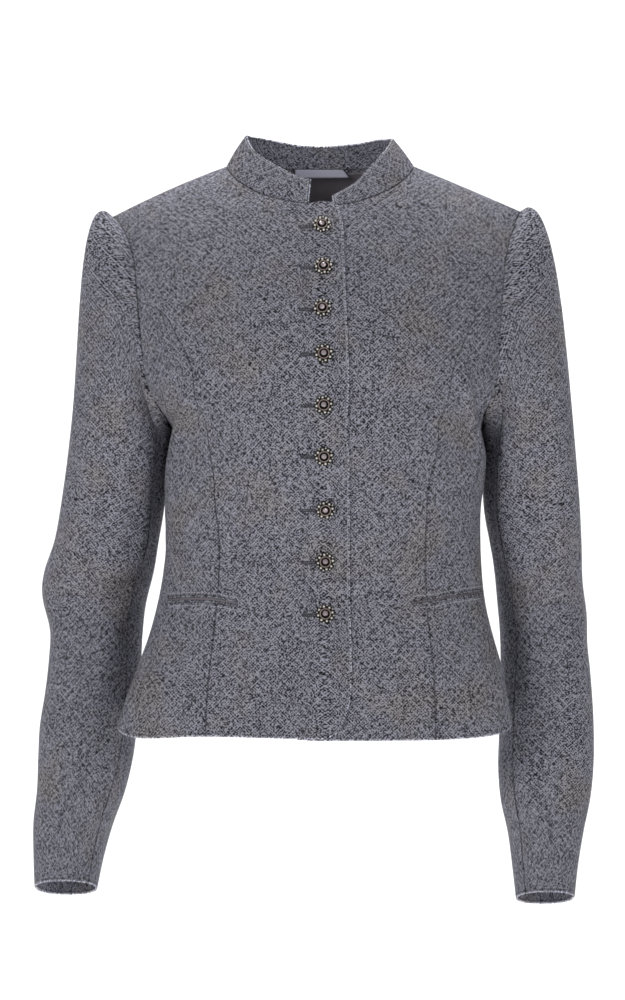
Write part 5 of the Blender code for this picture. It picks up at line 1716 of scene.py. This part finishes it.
def lathe(profile, sides, ripple=None):
    """Points and triangles of a turned form about Z: profile of radius and height from its foot to its top.

    ripple gives the radius at each turn as a factor; the ends close in a fan of triangles.
    """
    turns = np.linspace(0, 2 * math.pi, sides, endpoint=False)
    profile = np.asarray(profile, float)
    factor = 1 + (ripple(profile[:, :1], turns[None, :]) if ripple else 0)
    radius = profile[:, :1] * factor + 0 * turns[None, :]
    rings = np.stack([radius * np.cos(turns), radius * np.sin(turns), profile[:, 1:] + 0 * radius], axis=-1)
    ends = np.array([[0, 0, profile[0, 1]], [0, 0, profile[-1, 1]]])
    quads = grid_faces(len(profile), sides, True)
    faces = np.concatenate([quads[:, [0, 1, 2]], quads[:, [0, 2, 3]]])
    index = np.arange(sides)
    foot, top = len(profile) * sides, len(profile) * sides + 1
    last = (len(profile) - 1) * sides
    low = np.stack([np.full(sides, foot), (index + 1) % sides, index], axis=-1)
    high = np.stack([np.full(sides, top), last + index, last + (index + 1) % sides], axis=-1)
    faces = np.concatenate([faces, low, high])
    points = np.concatenate([rings.reshape(-1, 3), ends])
    return points, faces if volume(points, faces) > 0 else faces[:, ::-1]


def gather(parts):
    """Several meshes of points and triangles as one."""
    points = np.concatenate([part[0] for part in parts])
    starts = np.cumsum([0] + [len(part[0]) for part in parts[:-1]])
    return points, np.concatenate([part[1] + start for part, start in zip(parts, starts)])


def bead(radius, tall, sides=12, rings=7):
    """Low dome with a rounded foot: half height tall, radius wide."""
    angle = np.linspace(-0.45 * math.pi, 0.46 * math.pi, rings)
    return lathe(np.stack([radius * np.cos(angle), tall * np.sin(angle)], axis=-1), sides)


def crystal(height):
    """Cut stone: a girdle of sixteen corners, eight upper corners between them and a flat table."""
    girdle = np.linspace(0, 2 * math.pi, 16, endpoint=False)
    upper = np.linspace(0, 2 * math.pi, 8, endpoint=False) + math.pi / 8
    rings = [
        (0.0018, height - 0.0036, girdle),
        (0.0024, height - 0.0012, girdle),
        (0.0018, height - 0.00045, upper),
        (0.0010, height, upper),
    ]
    points = np.concatenate([[[r * math.cos(a), r * math.sin(a), h] for a in turn] for r, h, turn in rings])
    faces = []
    for k in range(16):
        j = (k + 1) % 16
        faces += [(k, j, 16 + j), (k, 16 + j, 16 + k)]
    for k in range(8):
        j = (k + 1) % 8
        low, middle, high = 16 + 2 * k, 16 + 2 * k + 1, 16 + (2 * k + 2) % 16
        faces += [(low, middle, 32 + k), (middle, high, 32 + k), (high, 32 + j, 32 + k)]
        faces += [(32 + k, 32 + j, 40 + j), (32 + k, 40 + j, 40 + k)]
    faces += [(40, 40 + k, 40 + k + 1) for k in range(1, 7)]
    faces += [(0, k + 1, k) for k in range(1, 15)]
    return points + np.array([0.0, STONE_LIFT, 0.0]), np.array(faces)


class JACKET_OT_buttons(bpy.types.Operator):
    """Build the nine filigree buttons: blackened ground, cast beads, a milled ring and a cut stone."""

    bl_idname = "jacket.buttons"
    bl_label = "Buttons"

    def execute(self, context):
        colours = context.scene.jacket_colours
        ground = finish_named("blackened_brass", cast_metal, "blackened_brass", colours.recess, 0.5, 0.6)
        bright = finish_named(
            "antiqued_pale_brass", cast_metal, "antiqued_pale_brass", colours.bead, 0.25, 0.5
        )
        rose = finish_named("antiqued_rose_brass", cast_metal, "antiqued_rose_brass", colours.ring, 0.32, 0.7)
        stone = finish_named("foiled_lead_glass", foiled_crystal)
        for number, (x, z) in enumerate(BUTTONS, start=1):
            made = {
                "ground": (self.ground(), ground, True),
                "beads": (self.beads(number), bright, True),
                "ring": (self.ring(), rose, True),
                "stone": (crystal(BUTTON_TOP), stone, False),
            }
            turn = 0.20 + 0.05 * math.sin(2.1 * number)
            for part, ((points, faces), finish, soft) in made.items():
                placed = self.seated(points, x, z, turn)
                item = put_mesh(f"button_{number}_{part}", placed, faces, finish=finish)
                item.data.polygons.foreach_set("use_smooth", np.full(len(item.data.polygons), soft))
                if part == "ground":
                    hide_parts(f"button_{number}")
        return {"FINISHED"}

    def seated(self, points, x, z, turn):
        """Points of a button about Z, turned and stood on the upper front."""
        w, v = locate(np.array([x]), np.array([z]), False)
        foot, out = cloth(w, v, False, LAP_SHIFT)
        axis = out[0]
        side = unit(np.cross(np.array([0.0, 0.0, 1.0]), axis))
        up = np.cross(axis, side)
        c, s = math.cos(turn), math.sin(turn)
        turned = points @ np.array([[c, s, 0], [-s, c, 0], [0, 0, 1.0]])
        return foot[0] + turned[:, :1] * side + turned[:, 1:2] * up + turned[:, 2:] * axis

    def ground(self):
        """Scalloped dish on a shank, its rim cut into eight lobes."""
        return lathe(
            GROUND_PROFILE,
            64,
            lambda r, turn: 0.028 * np.cos(BEADS_ROUND * turn) * np.clip((r - 0.0066) / 0.0020, 0, 1),
        )

    def beads(self, number):
        """Eight large beads, eight small ones between and outside them, each a little off its place."""
        parts = []
        for k in range(BEADS_ROUND):
            for radius, place, tall, foot, shift in BEAD_ROWS:
                turn = (k + shift) * 2 * math.pi / BEADS_ROUND
                drift = 0.00012 * math.sin(5.1 * k + 3.3 * number + 7 * shift)
                points, faces = bead(radius * (1 + 0.05 * math.sin(2.3 * k + number)), tall)
                c, s = math.cos(turn), math.sin(turn)
                points = points @ np.array([[c, s, 0], [-s, c, 0], [0, 0, 1.0]])
                away = place + drift
                parts.append((points + np.array([away * c, away * s, foot]), faces))
        return gather(parts)

    def ring(self):
        """Setting round the stone: a tube with fine milling."""
        turns = np.linspace(0, 2 * math.pi, 96, endpoint=False)
        tube_turn = np.linspace(0, 2 * math.pi, 8, endpoint=False)
        size = RING_HALF * (1 + 0.10 * np.cos(24 * turns))[:, None]
        radius = RING_RADIUS + size * np.cos(tube_turn)
        height = RING_HEIGHT + size * np.sin(tube_turn)
        points = np.stack([radius * np.cos(turns)[:, None], radius * np.sin(turns)[:, None], height], axis=-1)
        index = np.arange(96 * 8).reshape(96, 8)
        a, b = index, np.roll(index, -1, axis=0)
        quads = np.stack([a, b, np.roll(b, -1, axis=1), np.roll(a, -1, axis=1)], axis=-1).reshape(-1, 4)
        faces = np.concatenate([quads[:, [0, 1, 2]], quads[:, [0, 2, 3]]])
        points = points.reshape(-1, 3)
        return points, faces if volume(points, faces) > 0 else faces[:, ::-1]


class JACKET_OT_stitching(bpy.types.Operator):
    """Build the topstitching of the front edge, the collar and the pockets, and the worked buttonholes."""

    bl_idname = "jacket.stitching"
    bl_label = "Stitching"

    def execute(self, context):
        sizes = context.scene.jacket_sizes
        colours = context.scene.jacket_colours
        pale = finish_named("grey_sewing_thread", sewing_thread, "grey_sewing_thread", colours.thread)
        dark = finish_named(
            "dark_buttonhole_thread", sewing_thread, "dark_buttonhole_thread", colours.hole_thread
        )
        points, out, _ = front_cloth("right")
        marks = topstitch(*inset_line(points, out, "a", sizes.inset, "c"), sizes.stitch)
        stitches("front_edge_topstitch", marks, sizes.thread, pale)
        points, out, _ = collar_cloth()
        marks = []
        inset = sizes.inset + COLLAR_STITCH_SHIFT
        for side, clear in (("a", "d"), ("d", "ab"), ("b", "d")):
            marks += topstitch(*inset_line(points, out, side, inset, clear), sizes.stitch)
        stitches("collar_topstitch", marks, sizes.thread, pale)
        marks = []
        for side in ("right", "left"):
            for low in (-0.0062, 0.0048):
                strip, out, _ = slit_strip(side, low, low + 0.0014, 0.0)
                marks += topstitch(strip[4], out[4], sizes.stitch)
        stitches("pocket_topstitch", marks, sizes.thread, pale)
        marks = []
        for number, (x, z) in enumerate(BUTTONS):
            marks += self.buttonhole(x, z, number)
        stitches("worked_buttonholes", marks, 0.00026, dark)
        return {"FINISHED"}

    def buttonhole(self, x, z, number):
        """Two rows of close upright stitches beside the cut, with a bar of stitches across its far end."""
        places = x - np.linspace(0.0070, 0.0200, 30)
        wobble = 0.00030 * np.sin(places * 2900 + 2.0 * number)
        rows = []
        for low, high in ((-0.0027, -0.0009), (-0.0008, 0.0008)):
            rows += [(place, z + low + w, place + 0.0002, z + high + w) for place, w in zip(places, wobble)]
        for k in range(4):
            rows.append((x - 0.0203 - 0.0003 * k, z - 0.0027, x - 0.0203 - 0.0003 * k, z + 0.0009))
        ends = np.array(rows)
        w0, v0 = locate(ends[:, 0], ends[:, 1], False)
        w1, v1 = locate(ends[:, 2], ends[:, 3], False)
        start, out = cloth(w0, v0, False, LAP_SHIFT)
        end = cloth(w1, v1, False, LAP_SHIFT)[0]
        start, end = start - out * 0.0001, end - out * 0.0001
        return [(start[k], end[k], out[k]) for k in range(len(ends))]


class JACKET_OT_stage(bpy.types.Operator):
    """Build the pale curved backdrop, the soft lights and the camera."""

    bl_idname = "jacket.stage"
    bl_label = "Stage"

    def execute(self, context):
        scene = context.scene
        arc = np.linspace(-math.pi / 2, 0, 17)
        reach = WALL_Y - SWEEP_RADIUS + SWEEP_RADIUS * np.cos(arc)
        bend = np.stack([reach, FLOOR_Z + SWEEP_RADIUS + SWEEP_RADIUS * np.sin(arc)], axis=-1)
        line = np.concatenate([[[-4.5, FLOOR_Z]], bend, [[WALL_Y, 3.6]]])
        xs = np.linspace(-5, 5, 2)
        points = np.array([[(x, y, z) for x in xs] for y, z in line])
        faces = grid_faces(len(line), 2)
        board = finish_named("matt_painted_board", painted_floor)
        staged = [put_mesh("backdrop", points.reshape(-1, 3), faces, finish=board)]
        for name, place, aim, size, power in LIGHTS:
            lamp = bpy.data.lights.new(name, "AREA")
            lamp.shape = "RECTANGLE"
            lamp.size, lamp.size_y = size
            lamp.energy = power
            item = bpy.data.objects.new(name, lamp)
            item.location = place
            item.rotation_euler = (Vector(aim) - Vector(place)).to_track_quat("-Z", "Y").to_euler()
            scene.collection.objects.link(item)
            staged.append(item)
        camera = bpy.data.cameras.new("camera")
        camera.sensor_width = 36.0
        camera.lens = camera.sensor_width * -CAMERA_PLACE[1] / VIEW_HEIGHT
        item = bpy.data.objects.new("camera", camera)
        item.location = CAMERA_PLACE
        item.rotation_euler = (math.pi / 2, 0, 0)
        scene.collection.objects.link(item)
        scene.camera = item
        world = bpy.data.worlds.new("studio")
        world.use_nodes = True
        world.node_tree.nodes["Background"].inputs["Color"].default_value = (1.0, 1.0, 1.0, 1.0)
        world.node_tree.nodes["Background"].inputs["Strength"].default_value = 0.07
        scene.world = world
        scene.view_settings.view_transform = "Standard"
        return {"FINISHED"}


class JACKET_PT_panel(bpy.types.Panel):
    """Sidebar panel with one button for each group of pieces."""

    bl_idname = "JACKET_PT_panel"
    bl_label = "Fitted jersey jacket"
    bl_space_type = "VIEW_3D"
    bl_region_type = "UI"
    bl_category = "Jacket"

    def draw(self, context):
        for name in JacketSizes.__annotations__:
            self.layout.prop(context.scene.jacket_sizes, name)
        for operator in OPERATORS:
            self.layout.operator(operator.bl_idname)


OPERATORS = (
    JACKET_OT_body,
    JACKET_OT_sleeves,
    JACKET_OT_collar,
    JACKET_OT_pockets,
    JACKET_OT_neck_inside,
    JACKET_OT_buttons,
    JACKET_OT_stitching,
    JACKET_OT_stage,
)
CLASSES = (JacketSizes, JacketColours, *OPERATORS, JACKET_PT_panel)


def register():
    """Registers the property groups, operators and panel."""
    for item in CLASSES:
        bpy.utils.register_class(item)
    bpy.types.Scene.jacket_sizes = PointerProperty(type=JacketSizes)
    bpy.types.Scene.jacket_colours = PointerProperty(type=JacketColours)


def unregister():
    """Removes what register added."""
    del bpy.types.Scene.jacket_colours
    del bpy.types.Scene.jacket_sizes
    for item in reversed(CLASSES):
        bpy.utils.unregister_class(item)


def main():
    """Builds every piece in order."""
    register()
    for operator in OPERATORS:
        group, name = operator.bl_idname.split(".")
        getattr(getattr(bpy.ops, group), name)()


if __name__ == "__main__":
    main()
